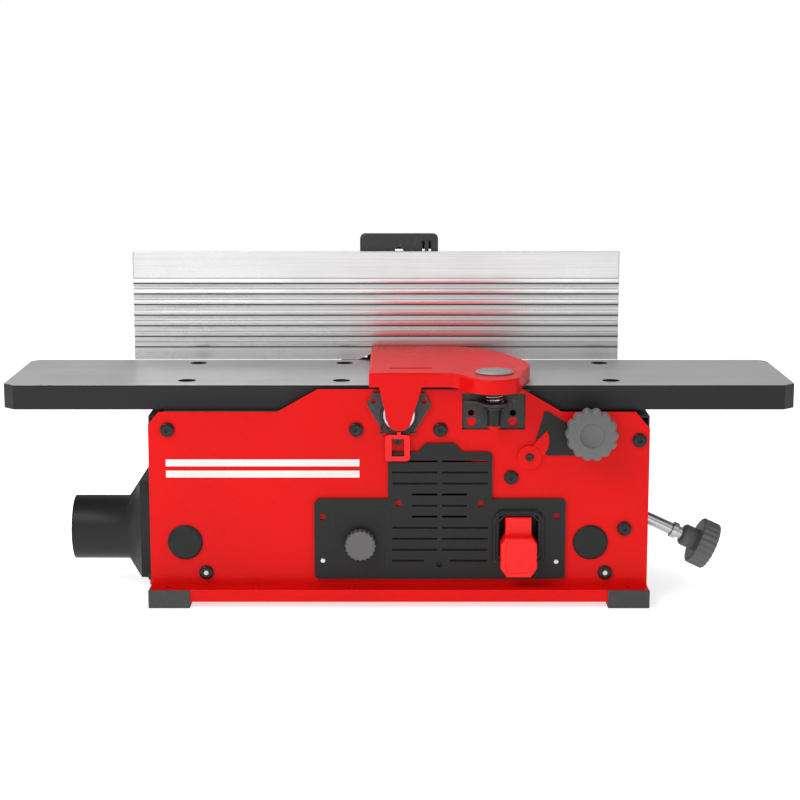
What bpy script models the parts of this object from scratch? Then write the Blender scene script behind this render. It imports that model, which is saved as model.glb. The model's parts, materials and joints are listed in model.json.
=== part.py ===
"""Bench jointer: a planing machine with two long tables, a cutterhead between them, a fence and a swinging guard.

Metres, +Z up. X runs along the tables, from the outfeed end (-X) to the infeed end (+X). -Y is the
operator's side. The origin is on the floor, below the middle of the machine.
"""

import math

import bmesh
import bpy
from mathutils import Matrix, Vector

MM = 0.001

# Driving dimensions
TABLE_LENGTH = 762 * MM  # both tables together, end to end
TABLE_WIDTH = 160 * MM
TABLE_HEIGHT = 212.4 * MM  # working surface above the floor
TABLE_THICK = 24 * MM
BODY_LENGTH = 482 * MM  # sheet-metal base
FRONT_REACH = 61 * MM  # guard's bulge, in front of the tables' front edge
BACK_REACH = 129 * MM  # fence support, behind the tables' back edge
SHEET = 1.8 * MM  # wall of the base panels
GAP = 0.3 * MM  # between pieces that touch
RUN = 0.3 * MM  # radial, round a turning or sliding piece
OVERLAP = 0.4 * MM  # between shapes that are joined into one

# Cutterhead and its drive
CUT_RADIUS = 27.3 * MM
HEAD_RADIUS = 25 * MM
HEAD_LOCK_SLOT = 5 * MM
JOURNAL_RADIUS = 7.5 * MM
BEARING_RADIUS = 17.5 * MM
BEARING_WIDTH = 11 * MM
BEARING_WALL = 3.3 * MM  # round the bearing, in its plate
KNIFE_THICK = 3 * MM
WEDGE_THICK = 5 * MM
KNIFE_ROOT = 12.3 * MM
HEAD_TO_TABLE = 1.7 * MM  # knife tip to the tables' lips
LIP_X = 14 * MM
DRIVEN_PULLEY_RADIUS = 14.5 * MM
DRIVE_PULLEY_RADIUS = 18 * MM
PULLEY_WIDTH = 14 * MM
BELT_THICK = 2 * MM
COVER_WALL = 2 * MM
MOTOR_X = 40 * MM
MOTOR_DROP = 120.4 * MM  # motor axis below the working surface
MOTOR_RADIUS = 45 * MM
SHAFT_RADIUS = 6 * MM

# Infeed table's incline and height screw
INCLINE = math.radians(25)
SCREW_X = 242 * MM  # a point on the screw's axis, in the end panel's plane
SCREW_DROP = 141.6 * MM
SCREW_Y = 60 * MM  # behind the tables' front edge
SCREW_RADIUS = 5 * MM
ROD_RADIUS = 6 * MM
SADDLE_X0 = 95 * MM
SADDLE_END_GAP = 20 * MM  # from the saddle to the end panel, which its travel needs
BED_END_GAP = 9 * MM
TABLE_TRAVEL = 7.5 * MM  # along the incline: 3.2 mm of cut
LOCK_X = 182.5 * MM
LOCK_DROP = 42.5 * MM
LOCK_STUD_RADIUS = 4 * MM

# Fence
FENCE_LENGTH = 502 * MM
FENCE_X = -23.7 * MM  # middle of the fence
FENCE_THICK = 8 * MM
FENCE_LIFT = 1.1 * MM  # its lower edge above the tables
FENCE_TOP = 112.6 * MM
FENCE_SETBACK = 0.5 * MM  # its face behind the tables' back edge
GROOVES = 7
GROOVE_PITCH = 11.05 * MM
GROOVE_FIRST = 13.3 * MM
GROOVE_WIDTH = 1.5 * MM
GROOVE_DEPTH = 0.9 * MM
PIN_RADIUS = 2.5 * MM
PIN_LIFT = 8 * MM
KNUCKLE_RADIUS = 6 * MM
KNUCKLE_HALF = 24 * MM
LEVER_RADIUS = 7 * MM  # hub of the tilt lever
LUG_WIDTH = 8 * MM
CARRIAGE_LIFT = 0.6 * MM
CARRIAGE_THICK = 4.4 * MM
CARRIAGE_HALF = 45 * MM
FENCE_TRAVEL = 90 * MM
SLIDE_STUD_X = -42 * MM
SLIDE_STUD_RADIUS = 4 * MM
SUPPORT_HALF = 60 * MM

# Guard
GUARD_X = 90.5 * MM
GUARD_Y = -18.2 * MM  # pivot, from the tables' front edge
GUARD_TOP = 14.7 * MM
GUARD_WALL = 2.5 * MM
GUARD_LIFT = 0.6 * MM
POST_RADIUS = 6.5 * MM
POST_BOTTOM = 36 * MM
SHELF_DROP = 14 * MM
SHELF_THICK = 2.5 * MM

# Base front
PANEL_SETBACK = 8 * MM  # panel's face in front of the tables' front edge
PLATE_THICK = 2.7 * MM  # control panel
FLANGE_REACH = 30 * MM
REAR_FLANGE = 22 * MM
FLANGE_HEIGHT = 17.9 * MM
LIP_HEIGHT = 11.8 * MM
FOOT_WIDTH = 40 * MM
FOOT_DEPTH = 42 * MM
FOOT_SKIN = 1.6 * MM
KNOB_SHAFT_RADIUS = 3 * MM
SCREW_HEAD_RADIUS = 6.9 * MM
SCREW_SHANK_RADIUS = 3 * MM

# Dust outlet
PORT_Y = 60 * MM
PORT_HEIGHT = 58.9 * MM
PORT_RADIUS = 31.75 * MM
PORT_WALL = 3 * MM
PORT_END = 82 * MM  # rim beyond the base's end
CHUTE_WALL = 2 * MM
PORT_HALF_WIDTH = 48 * MM  # of the duct where it leaves the base
PORT_LOW = 22 * MM
PORT_TOP_DROP = 99 * MM

# Places that follow from the sizes above
FRONT_Y = (FRONT_REACH - TABLE_WIDTH - BACK_REACH) / 2
BACK_Y = FRONT_Y + TABLE_WIDTH
TABLE_BOTTOM = TABLE_HEIGHT - TABLE_THICK
HEAD_Z = TABLE_HEIGHT - CUT_RADIUS
MOTOR_Z = TABLE_HEIGHT - MOTOR_DROP
PANEL_FACE = FRONT_Y - PANEL_SETBACK
PANEL_BACK = PANEL_FACE + SHEET
REAR_FACE = BACK_Y + 5 * MM  # inner face of the rear panel
REAR_BACK = REAR_FACE + SHEET
BODY_END = BODY_LENGTH / 2
SADDLE_X1 = BODY_END - SADDLE_END_GAP
BED_X = (103 * MM, BODY_END - BED_END_GAP)  # infeed bed
CONTROL_FACE = PANEL_FACE - GAP - PLATE_THICK
FENCE_FACE = BACK_Y + FENCE_SETBACK
FENCE_BACK = FENCE_FACE + FENCE_THICK
PIN_Y = FENCE_BACK + KNUCKLE_RADIUS + 1 * MM
PIN_Z = TABLE_HEIGHT + PIN_LIFT
PULLEY_Y = REAR_BACK + 6.2 * MM
COVER_END = PULLEY_Y + PULLEY_WIDTH + 5 * MM
SCREW_AXIS = Vector((math.cos(INCLINE), 0, -math.sin(INCLINE)))
SCREW_POINT = Vector((SCREW_X, FRONT_Y + SCREW_Y, TABLE_HEIGHT - SCREW_DROP))
PORT_OPEN_Y = (FRONT_Y + PORT_Y - PORT_HALF_WIDTH, FRONT_Y + PORT_Y + PORT_HALF_WIDTH)
PORT_OPEN_Z = (PORT_LOW, TABLE_HEIGHT - PORT_TOP_DROP)
X_AXIS = Vector((1, 0, 0))
Y_AXIS = Vector((0, 1, 0))
Z_AXIS = Vector((0, 0, 1))


def top(distance):
    """Height of a place given in millimetres above (or, negative, below) the working surface."""
    return TABLE_HEIGHT + distance * MM


def front(distance):
    """Y of a place given in millimetres behind the tables' front edge."""
    return FRONT_Y + distance * MM


def back(distance):
    """Y of a place given in millimetres behind the tables' back edge."""
    return BACK_Y + distance * MM


def face(points):
    """(x, z) points in millimetres from the tables' middle and working surface, as metres."""
    return [(x * MM, top(z)) for x, z in points]


# Scene, collections and finishes


def new_collection(name):
    collection = bpy.data.collections.new(name)
    bpy.context.scene.collection.children.link(collection)
    return collection


for leftover in list(bpy.data.objects):
    bpy.data.objects.remove(leftover, do_unlink=True)
PARTS = new_collection("jointer")
CUTTERS = new_collection("cutters")
CUTTERS.hide_render = True


def finish(name, colour, roughness, metallic=0.0):
    material = bpy.data.materials.new(name)
    material.use_nodes = True
    shader = material.node_tree.nodes["Principled BSDF"]
    shader.inputs["Base Color"].default_value = (*colour, 1)
    shader.inputs["Roughness"].default_value = roughness
    shader.inputs["Metallic"].default_value = metallic
    return material


RED = finish("red_enamel", (0.70, 0.012, 0.014), 0.35)
BLACK = finish("black_paint", (0.022, 0.024, 0.024), 0.5)
GREY_PLASTIC = finish("grey_plastic", (0.16, 0.16, 0.16), 0.5)
BLACK_PLASTIC = finish("black_plastic", (0.03, 0.032, 0.031), 0.5)
RUBBER = finish("rubber", (0.045, 0.045, 0.045), 0.8)
MACHINED = finish("machined_aluminium", (0.45, 0.45, 0.45), 0.35, 0.9)
BRUSHED = finish("brushed_aluminium", (0.72, 0.72, 0.72), 0.3, 1.0)
CASTING = finish("dark_casting", (0.06, 0.062, 0.062), 0.55, 0.3)
STEEL = finish("bright_steel", (0.6, 0.6, 0.6), 0.25, 1.0)
BLACK_STEEL = finish("black_steel", (0.03, 0.03, 0.03), 0.35, 0.8)


def put(name, mesh, material):
    """A new object in the parts collection."""
    mesh.materials.clear()
    if material:
        mesh.materials.append(material)
    piece = bpy.data.objects.new(name, mesh)
    PARTS.objects.link(piece)
    return piece


def smooth(piece):
    piece.data.shade_smooth()
    piece.data.set_sharp_from_angle(angle=math.radians(35))


# Outlines: lists of (u, v) points


def arc(u, v, radius, first, last, steps):
    """Points along an arc, from the first angle to the last, in degrees, both ends included."""
    angles = [math.radians(first + (last - first) * i / steps) for i in range(steps + 1)]
    return [(u + radius * math.cos(a), v + radius * math.sin(a)) for a in angles]


def circle(u, v, radius, steps=20):
    start = 7  # keeps the sides of neighbouring holes off one line
    return arc(u, v, radius, start, start + 360, steps)[:-1]


def rectangle(u0, u1, v0, v1):
    return [(u0, v0), (u1, v0), (u1, v1), (u0, v1)]


def rounded(u0, u1, v0, v1, radius, steps=3):
    corners = ((u1, v0, -1, 1, -90), (u1, v1, -1, -1, 0), (u0, v1, 1, -1, 90), (u0, v0, 1, 1, 180))
    return [
        point
        for u, v, du, dv, start in corners
        for point in arc(u + du * radius, v + dv * radius, radius, start, start + 90, steps)
    ]


def slot(u, v, length, radius, angle=0.0, steps=5):
    """A round-ended slot from (u, v), running for this length at this angle."""
    turn = math.degrees(angle)
    end_u = u + length * math.cos(angle)
    end_v = v + length * math.sin(angle)
    far = arc(end_u, end_v, radius, turn - 90, turn + 90, steps)
    return far + arc(u, v, radius, turn + 90, turn + 270, steps)


def strap(radius_a, radius_b, steps=14):
    """The tight loop round the cutterhead's and the motor's pulley centres at these radii."""
    du, dv = MOTOR_X, MOTOR_Z - HEAD_Z
    turn = math.degrees(math.atan2(dv, du))
    lean = math.degrees(math.acos((radius_a - radius_b) / math.hypot(du, dv)))
    near = arc(0, HEAD_Z, radius_a, turn + lean, turn + 360 - lean, steps)
    return near + arc(MOTOR_X, MOTOR_Z, radius_b, turn - lean, turn + lean, steps)


# Solids

PLANES = {
    "XY": Matrix.Identity(4),
    "XZ": Matrix(((1, 0, 0, 0), (0, 0, -1, 0), (0, 1, 0, 0), (0, 0, 0, 1))),
    "YZ": Matrix(((0, 0, 1, 0), (1, 0, 0, 0), (0, 1, 0, 0), (0, 0, 0, 1))),
}


def plate(name, plane, loops, low, high, material=None):
    """A flat outline with its holes, drawn on a plane and filling it from low to high across the plane."""
    curve = bpy.data.curves.new(name, "CURVE")
    curve.dimensions = "2D"
    curve.fill_mode = "BOTH"
    curve.extrude = (high - low) / 2
    for loop in loops:
        spline = curve.splines.new("POLY")
        spline.points.add(len(loop) - 1)
        for point, (u, v) in zip(spline.points, loop):
            point.co = (u, v, 0, 1)
        spline.use_cyclic_u = True
    guide = bpy.data.objects.new(name, curve)
    CUTTERS.objects.link(guide)
    graph = bpy.context.evaluated_depsgraph_get()
    mesh = bpy.data.meshes.new_from_object(guide.evaluated_get(graph))
    bpy.data.objects.remove(guide, do_unlink=True)
    middle = (low + high) / 2
    across = -middle if plane == "XZ" else middle
    shape = bmesh.new()
    shape.from_mesh(mesh)
    bmesh.ops.remove_doubles(shape, verts=shape.verts, dist=1e-6)
    bmesh.ops.recalc_face_normals(shape, faces=shape.faces)
    bmesh.ops.transform(
        shape, matrix=PLANES[plane] @ Matrix.Translation((0, 0, across)), verts=shape.verts
    )
    shape.to_mesh(mesh)
    shape.free()
    mesh.name = name
    return put(name, mesh, material)


def block(name, x, y, z, material=None):
    """A box between two X, two Y and two Z values."""
    shape = bmesh.new()
    bmesh.ops.create_cube(shape, size=1)
    bmesh.ops.scale(shape, vec=(x[1] - x[0], y[1] - y[0], z[1] - z[0]), verts=shape.verts)
    middle = [sum(pair) / 2 for pair in (x, y, z)]
    bmesh.ops.translate(shape, vec=middle, verts=shape.verts)
    mesh = bpy.data.meshes.new(name)
    shape.to_mesh(mesh)
    shape.free()
    return put(name, mesh, material)


def turned(name, profile, origin, axis, material=None, steps=32):
    """A turned piece. The profile's (radius, along) points run down its outer side, far end first, and
    close on themselves unless they start and end on the axis."""
    mesh = bpy.data.meshes.new(name)
    count = len(profile)
    edges = [(i, i + 1) for i in range(count - 1)]
    if profile[0][0] > 0:
        edges.append((count - 1, 0))
    mesh.from_pydata([(radius, 0, along) for radius, along in profile], edges, [])
    piece = put(name, mesh, material)
    piece.location = origin
    piece.rotation_mode = "QUATERNION"
    piece.rotation_quaternion = Z_AXIS.rotation_difference(axis)
    screw = piece.modifiers.new("turn", "SCREW")
    screw.axis = "Z"
    screw.steps = steps
    screw.render_steps = steps
    screw.use_merge_vertices = True
    screw.merge_threshold = 1e-5
    screw.use_smooth_shade = True
    return piece


def rod(name, start, end, radius, material=None, steps=20):
    """A plain round bar between two points."""
    start, end = Vector(start), Vector(end)
    length = (end - start).length
    profile = [(0, length), (radius, length), (radius, 0), (0, 0)]
    return turned(name, profile, start, end - start, material, steps)


def ring(name, outer, inner, start, end, material=None, steps=32):
    """A plain tube between two points."""
    start, end = Vector(start), Vector(end)
    length = (end - start).length
    profile = [(outer, length), (outer, 0), (inner, 0), (inner, length)]
    return turned(name, profile, start, end - start, material, steps)


def skin(name, sections, thickness, offset, material=None):
    """A thin-walled duct through a list of sections that have the same number of points."""
    shape = bmesh.new()
    rows = [[shape.verts.new(point) for point in section] for section in sections]
    for row, after in zip(rows, rows[1:]):
        for i in range(len(row)):
            j = (i + 1) % len(row)
            shape.faces.new((row[i], row[j], after[j], after[i]))
    bmesh.ops.recalc_face_normals(shape, faces=shape.faces)
    mesh = bpy.data.meshes.new(name)
    shape.to_mesh(mesh)
    shape.free()
    piece = put(name, mesh, material)
    wall = piece.modifiers.new("wall", "SOLIDIFY")
    wall.thickness = thickness
    wall.offset = offset
    wall.use_even_offset = True
    return piece


def boolean(piece, other, operation):
    """Cuts another object from a piece or joins it to the piece, and puts the other with the cutters."""
    step = piece.modifiers.new(operation.lower(), "BOOLEAN")
    step.operation = operation
    step.object = other
    PARTS.objects.unlink(other)
    CUTTERS.objects.link(other)
    other.hide_render = True
    other.display_type = "WIRE"


def cut(piece, *others):
    for other in others:
        boolean(piece, other, "DIFFERENCE")


def join(piece, *others):
    for other in others:
        boolean(piece, other, "UNION")


def set_origin(piece, point):
    """Moves an unturned piece's origin to a point, usually on its joint's axis, without moving the piece."""
    shift = Vector(point) - piece.location
    piece.data.transform(Matrix.Translation(-shift))
    piece.location = point


# Base: four sheet-metal panels on rubber feet

HEX = face([(-30.9, -17.1), (-24.3, -5.6), (24.3, -5.6), (30.9, -17.1), (15.5, -42.8), (-15.5, -42.8)])
SWITCH_X = (93 * MM, 137 * MM)
SWITCH_Z = (39.9 * MM, 89.4 * MM)  # above the floor
SPEED_X, SPEED_Z = -37.1 * MM, 59.2 * MM
CAP_X, CAP_Z, CAP_RADIUS = (-206.7 * MM, 185 * MM), 59.7 * MM, 17 * MM
POINTER_X, POINTER_Z = 125.2 * MM, top(-68.5)
WINDOW_X, WINDOW_Z = (60.3 * MM, 120.9 * MM), (top(-42.1), top(-6.8))
SCREW_PLACES = {
    "panel_screw_bed_left": (-221.9 * MM, top(-42)),
    "panel_screw_bed_middle": (-41 * MM, top(-42)),
    "panel_screw_way_low": (107.9 * MM, top(-88.6)),
    "panel_screw_way_high": (217.5 * MM, top(-139.1)),
}
LOCK_SLOT = slot(LOCK_X, TABLE_HEIGHT - LOCK_DROP, TABLE_TRAVEL, LOCK_STUD_RADIUS + 1 * MM, -INCLINE)


def front_outline():
    """The front panel's edge: a raised middle, in front of the cutterhead, between lower shoulders."""
    low, end = FLANGE_HEIGHT - SHEET + OVERLAP, BODY_END - 0.5 * MM
    return (
        [(-end, low), (end, low)]
        + [(end, top(-41)), (226.5 * MM - 241 * MM + BODY_END, top(-24.8))]
        + face([(155.8, -24.8), (118.3, -3), (-78, -3), (-116.6, -24.8)])
        + [(-230 * MM + 241 * MM - BODY_END, top(-24.8)), (-end, top(-37))]
    )


def build_front_panel():
    holes = [
        circle(0, HEAD_Z, BEARING_RADIUS + BEARING_WALL + RUN, 28),
        rectangle(*WINDOW_X, *WINDOW_Z),
        LOCK_SLOT,
        rectangle(SWITCH_X[0] - RUN, SWITCH_X[1] + RUN, SWITCH_Z[0] - RUN, SWITCH_Z[1] + RUN),
        rectangle(8 * MM, 70 * MM, 47 * MM, top(-72)),
        circle(SPEED_X, SPEED_Z, KNOB_SHAFT_RADIUS + 1 * MM, 12),
        circle(POINTER_X, POINTER_Z, KNOB_SHAFT_RADIUS + RUN, 12),
    ]
    holes += [circle(x, CAP_Z, CAP_RADIUS - 5 * MM, 16) for x in CAP_X]
    holes += [circle(x, z, SCREW_SHANK_RADIUS + RUN, 10) for x, z in SCREW_PLACES.values()]
    panel = plate("front_panel", "XZ", [front_outline()] + holes, PANEL_FACE, PANEL_BACK, RED)
    end = BODY_END - 0.5 * MM
    reach = FRONT_Y - FLANGE_REACH
    profile = [
        (PANEL_BACK - OVERLAP, FLANGE_HEIGHT),
        (reach, FLANGE_HEIGHT),
        (reach, FLANGE_HEIGHT - LIP_HEIGHT),
        (reach + SHEET, FLANGE_HEIGHT - LIP_HEIGHT),
        (reach + SHEET, FLANGE_HEIGHT - SHEET),
        (PANEL_BACK - OVERLAP, FLANGE_HEIGHT - SHEET),
    ]
    join(panel, plate("front_flange", "YZ", [profile], OVERLAP - end, end - OVERLAP))
    for side in (-1, 1):
        x = side * (BODY_END - 19 * MM)
        hole = rod("flange_hole", (x, front(-19), 0), (x, front(-19), FLANGE_HEIGHT + 5 * MM), 3 * MM)
        cut(panel, hole)


def build_rear_panel():
    low, end = FLANGE_HEIGHT - SHEET + OVERLAP, BODY_END - 0.5 * MM
    outline = [(-end, low), (end, low), (end, top(-24.8)), (90 * MM, top(-24.8)), (75 * MM, top(-5.6))]
    outline += [(-75 * MM, top(-5.6)), (-90 * MM, top(-24.8)), (-end, top(-24.8))]
    holes = [
        circle(0, HEAD_Z, BEARING_RADIUS + BEARING_WALL + RUN, 28),
        circle(MOTOR_X, MOTOR_Z, SHAFT_RADIUS + 3 * MM, 16),
        circle(-200 * MM, 45 * MM, 7 * MM, 16),
    ]
    panel = plate("rear_panel", "XZ", [outline] + holes, REAR_FACE, REAR_BACK, RED)
    reach = REAR_BACK + REAR_FLANGE
    profile = [
        (REAR_FACE + OVERLAP, FLANGE_HEIGHT - SHEET),
        (reach - SHEET, FLANGE_HEIGHT - SHEET),
        (reach - SHEET, FLANGE_HEIGHT - LIP_HEIGHT),
        (reach, FLANGE_HEIGHT - LIP_HEIGHT),
        (reach, FLANGE_HEIGHT),
        (REAR_FACE + OVERLAP, FLANGE_HEIGHT),
    ]
    join(panel, plate("rear_flange", "YZ", [profile], OVERLAP - end, end - OVERLAP))


def build_end_panels():
    """The two end walls stand between the front and rear panels, with a rim bent inwards at the top."""
    y = (PANEL_BACK + GAP, REAR_FACE - GAP)
    z = (FLANGE_HEIGHT + GAP, top(-29))
    opening = rectangle(*PORT_OPEN_Y, *PORT_OPEN_Z)
    left = plate("left_end_panel", "YZ", [rectangle(*y, *z), opening], -BODY_END + 0.8 * MM,
                 -BODY_END + 0.8 * MM + SHEET, BLACK)
    right = plate("right_end_panel", "YZ", [rectangle(*y, *z)], BODY_END - 0.8 * MM - SHEET,
                  BODY_END - 0.8 * MM, BLACK)
    start = SCREW_POINT - 20 * MM * SCREW_AXIS
    cut(right, rod("screw_hole", start, SCREW_POINT + 20 * MM * SCREW_AXIS, ROD_RADIUS + 3 * MM))
    inner = BODY_END - 0.8 * MM - SHEET
    for side, panel in ((-1, left), (1, right)):
        x = sorted((side * (inner + 0.5 * MM), side * (inner - 10 * MM)))
        join(panel, block("rim", x, y, (z[1] - SHEET, z[1] - 0.05 * MM)))


def build_feet():
    """Rubber feet under the panels' flanges; the front ones wrap round the flange's lip."""
    end = BODY_END - 0.3 * MM
    lip = FRONT_Y - FLANGE_REACH
    front_y = (lip - FOOT_SKIN - GAP, lip - FOOT_SKIN - GAP + FOOT_DEPTH)
    rear_reach = REAR_BACK + REAR_FLANGE
    rear_y = (rear_reach + FOOT_SKIN + GAP - FOOT_DEPTH, rear_reach + FOOT_SKIN + GAP)
    for side, word in ((-1, "left"), (1, "right")):
        x = sorted((side * end, side * (end - FOOT_WIDTH)))
        wide = (x[0] - 1 * MM, x[1] + 1 * MM)
        for place, y in (("front", front_y), ("rear", rear_y)):
            foot = block(f"foot_{place}_{word}", x, y, (0, FLANGE_HEIGHT + 0.1 * MM), RUBBER)
            inside = (y[0] + FOOT_SKIN, y[1] + 1 * MM) if place == "front" else (y[0] - 1 * MM, y[1] - FOOT_SKIN)
            deep = FLANGE_HEIGHT - SHEET - GAP
            cut(foot, block("foot_rebate", wide, inside, (deep, FLANGE_HEIGHT + 9 * MM)))
            edge = (inside[0], inside[0] + SHEET + 2 * GAP)
            if place == "rear":
                edge = (inside[1] - SHEET - 2 * GAP, inside[1])
            cut(foot, block("lip_groove", wide, edge, (FLANGE_HEIGHT - LIP_HEIGHT - GAP, deep + 1 * MM)))
            corner = (inside[1] - 1 * MM - 9 * MM, inside[1] + 1 * MM)
            if place == "front":
                cut(foot, block("wall_room", (x[0] - 1 * MM, x[1] + 1 * MM), corner, (5.5 * MM, 20 * MM)))


def build_panel_screws():
    """Button-head screws that hold the table beds to the front panel."""
    for name, (x, z) in SCREW_PLACES.items():
        head = SCREW_HEAD_RADIUS
        long = 9 * MM
        profile = [(0, 3.2 * MM), (0.55 * head, 3 * MM), (0.9 * head, 1.7 * MM), (head, 0)]
        profile += [(SCREW_SHANK_RADIUS, 0), (SCREW_SHANK_RADIUS, -long), (0, -long)]
        turned(name, profile, (x, PANEL_FACE - GAP, z), -Y_AXIS, BLACK_STEEL, 16)


# Tables and the beds that carry them


def table(name, side):
    """One table: chamfered corners, countersunk screws and a lip that closes in on the cutterhead."""
    end = side * TABLE_LENGTH / 2
    lip = side * LIP_X
    fore, rear = 11 * MM, 8 * MM
    outline = [
        (lip, FRONT_Y),
        (end - side * fore, FRONT_Y),
        (end, FRONT_Y + fore),
        (end, BACK_Y - rear),
        (end - side * rear, BACK_Y),
        (lip, BACK_Y),
    ]
    top_plate = plate(name, "XY", [outline], TABLE_BOTTOM, TABLE_HEIGHT, MACHINED)
    sweep = CUT_RADIUS + HEAD_TO_TABLE
    cut(top_plate, rod("lip_" + name, (0, FRONT_Y - 9 * MM, HEAD_Z), (0, BACK_Y + 9 * MM, HEAD_Z), sweep,
                       steps=48))
    for x in (206 * MM, 56 * MM):
        for y in (front(27), back(-22.5)):
            deep = TABLE_HEIGHT - 7 * MM
            hole = turned("recess", [(0, 9 * MM), (8.75 * MM, 9 * MM), (8.75 * MM, 0), (0, 0)],
                          (side * x, y, deep), Z_AXIS, steps=20)
            cut(top_plate, hole)
    return top_plate


def saddle_z(x):
    """Height of the infeed saddle's inclined underside."""
    return TABLE_BOTTOM - GAP - (x - SADDLE_X0) * math.tan(INCLINE)


def build_outfeed():
    table("outfeed_table", -1)
    y = (PANEL_BACK + GAP, REAR_FACE - GAP)
    high = TABLE_BOTTOM - GAP
    low, rib, deck = high - 34 * MM, 6 * MM, 7 * MM
    profile = [(y[0], high), (y[0], low), (y[0] + rib, low), (y[0] + rib, high - deck)]
    profile += [(y[1] - rib, high - deck), (y[1] - rib, low), (y[1], low), (y[1], high)]
    bed = plate("outfeed_bed", "YZ", [profile], -BODY_END + 16 * MM, -33 * MM, CASTING)
    holes = []
    for name in ("panel_screw_bed_left", "panel_screw_bed_middle"):
        x, z = SCREW_PLACES[name]
        holes.append(rod("bed_hole", (x, PANEL_BACK - 1 * MM, z), (x, PANEL_BACK + 15 * MM, z),
                         SCREW_SHANK_RADIUS + RUN, steps=10))
    cut(bed, *holes)


def build_infeed():
    table("infeed_table", 1)
    high = TABLE_BOTTOM - GAP
    wedge = [(SADDLE_X0, high), (SADDLE_X1, high), (SADDLE_X1, saddle_z(SADDLE_X1))]
    saddle = plate("infeed_saddle", "XZ", [wedge], front(8), back(-8), CASTING)
    lug_x = (138 * MM, 162 * MM)
    lug_y = (SCREW_POINT.y - 12 * MM, SCREW_POINT.y + 12 * MM)
    lug_low = SCREW_POINT.z + (SCREW_X - lug_x[1]) * math.tan(INCLINE) - 14 * MM
    join(saddle, block("nut_lug", lug_x, lug_y, (lug_low, saddle_z(lug_x[1]) + 5 * MM)))
    reach = 160 * MM * SCREW_AXIS
    cut(saddle, rod("nut_thread", SCREW_POINT - reach, SCREW_POINT, SCREW_RADIUS + RUN))
    stud_z = TABLE_HEIGHT - LOCK_DROP
    cut(saddle, rod("stud_hole", (LOCK_X, front(0), stud_z), (LOCK_X, front(24), stud_z),
                    LOCK_STUD_RADIUS + RUN))

    below = 0.45 * MM
    ways = [(BED_X[0], saddle_z(BED_X[0]) - below), (BED_X[1], saddle_z(BED_X[1]) - below),
            (BED_X[1], top(-150)), (206 * MM, top(-150)), (196 * MM, top(-131)), (150 * MM, top(-112)),
            (BED_X[0], top(-100))]
    bed = plate("infeed_bed", "XZ", [ways], PANEL_BACK + GAP, REAR_FACE - GAP, CASTING)
    channel = block("bed_channel", (90 * MM, 213 * MM), (front(30), back(-30)), (top(-160), top(-10)))
    bracket_room = block("bracket_room", (90 * MM, 128 * MM), (front(-9), front(-2.6)),
                         (top(-49), top(-10)))
    cut(bed, channel, bracket_room)
    cut(bed, rod("bed_screw_hole", SCREW_POINT - 60 * MM * SCREW_AXIS, SCREW_POINT + 9 * MM * SCREW_AXIS,
                 SCREW_RADIUS + RUN))
    for name in ("panel_screw_way_low", "panel_screw_way_high"):
        x, z = SCREW_PLACES[name]
        cut(bed, rod("way_hole", (x, PANEL_BACK - 1 * MM, z), (x, PANEL_BACK + 15 * MM, z),
                     SCREW_SHANK_RADIUS + RUN, steps=10))


def along_screw(distance):
    return SCREW_POINT + distance * MM * SCREW_AXIS


def build_height_screw():
    """The screw that drives the infeed table up and down its incline, and its hand knob."""
    profile = [
        (0, 62 * MM), (ROD_RADIUS, 62 * MM), (ROD_RADIUS, -7 * MM), (SCREW_RADIUS, -7 * MM),
        (SCREW_RADIUS, -36 * MM), (8 * MM, -36 * MM), (8 * MM, -42 * MM), (SCREW_RADIUS, -42 * MM),
        (SCREW_RADIUS, -129 * MM), (0, -129 * MM),
    ]
    turned("height_screw", profile, SCREW_POINT, SCREW_AXIS, STEEL, 24)
    knob = fluted_knob("height_knob", 24 * MM, 1.1 * MM, 18 * MM, 24, GREY_PLASTIC)
    join(knob, turned("knob_hub", [(0, 4 * MM), (11 * MM, 4 * MM), (11 * MM, -15 * MM), (0, -15 * MM)],
                      (0, 0, 0), Z_AXIS, steps=24))
    cut(knob, turned("knob_bore", [(0, 2.3 * MM), (ROD_RADIUS + RUN, 2.3 * MM), (ROD_RADIUS + RUN, -20 * MM),
                                   (0, -20 * MM)], (0, 0, 0), Z_AXIS, steps=24))
    carry(knob, along_screw(60.3), SCREW_AXIS)


def fluted_knob(name, radius, depth, thick, lobes, material, dish=0.0):
    """A hand knob with scalloped edges, drawn about Z from its back face up."""
    points = []
    for i in range(lobes * 4):
        swing = 0.5 + 0.5 * math.cos(2 * math.pi * i / 4)
        r = radius - depth * (1 - swing)
        a = 2 * math.pi * i / (lobes * 4)
        points.append((r * math.cos(a), r * math.sin(a)))
    knob = plate(name, "XY", [points], 0, thick, material)
    if dish:
        cut(knob, turned("dish", [(0, thick + 1 * MM), (dish, thick + 1 * MM), (dish, thick - 2 * MM),
                                  (0, thick - 2 * MM)], (0, 0, 0), Z_AXIS, steps=24))
    return knob


def carry(piece, origin, axis):
    """Takes a piece drawn about Z, with its cutters, to its place on an axis."""
    turn = Z_AXIS.rotation_difference(axis).to_matrix().to_4x4()
    place = Matrix.Translation(origin) @ turn
    for step in piece.modifiers:
        if step.type == "BOOLEAN":
            step.object.matrix_world = place @ step.object.matrix_basis
    piece.matrix_world = place @ piece.matrix_basis


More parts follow.
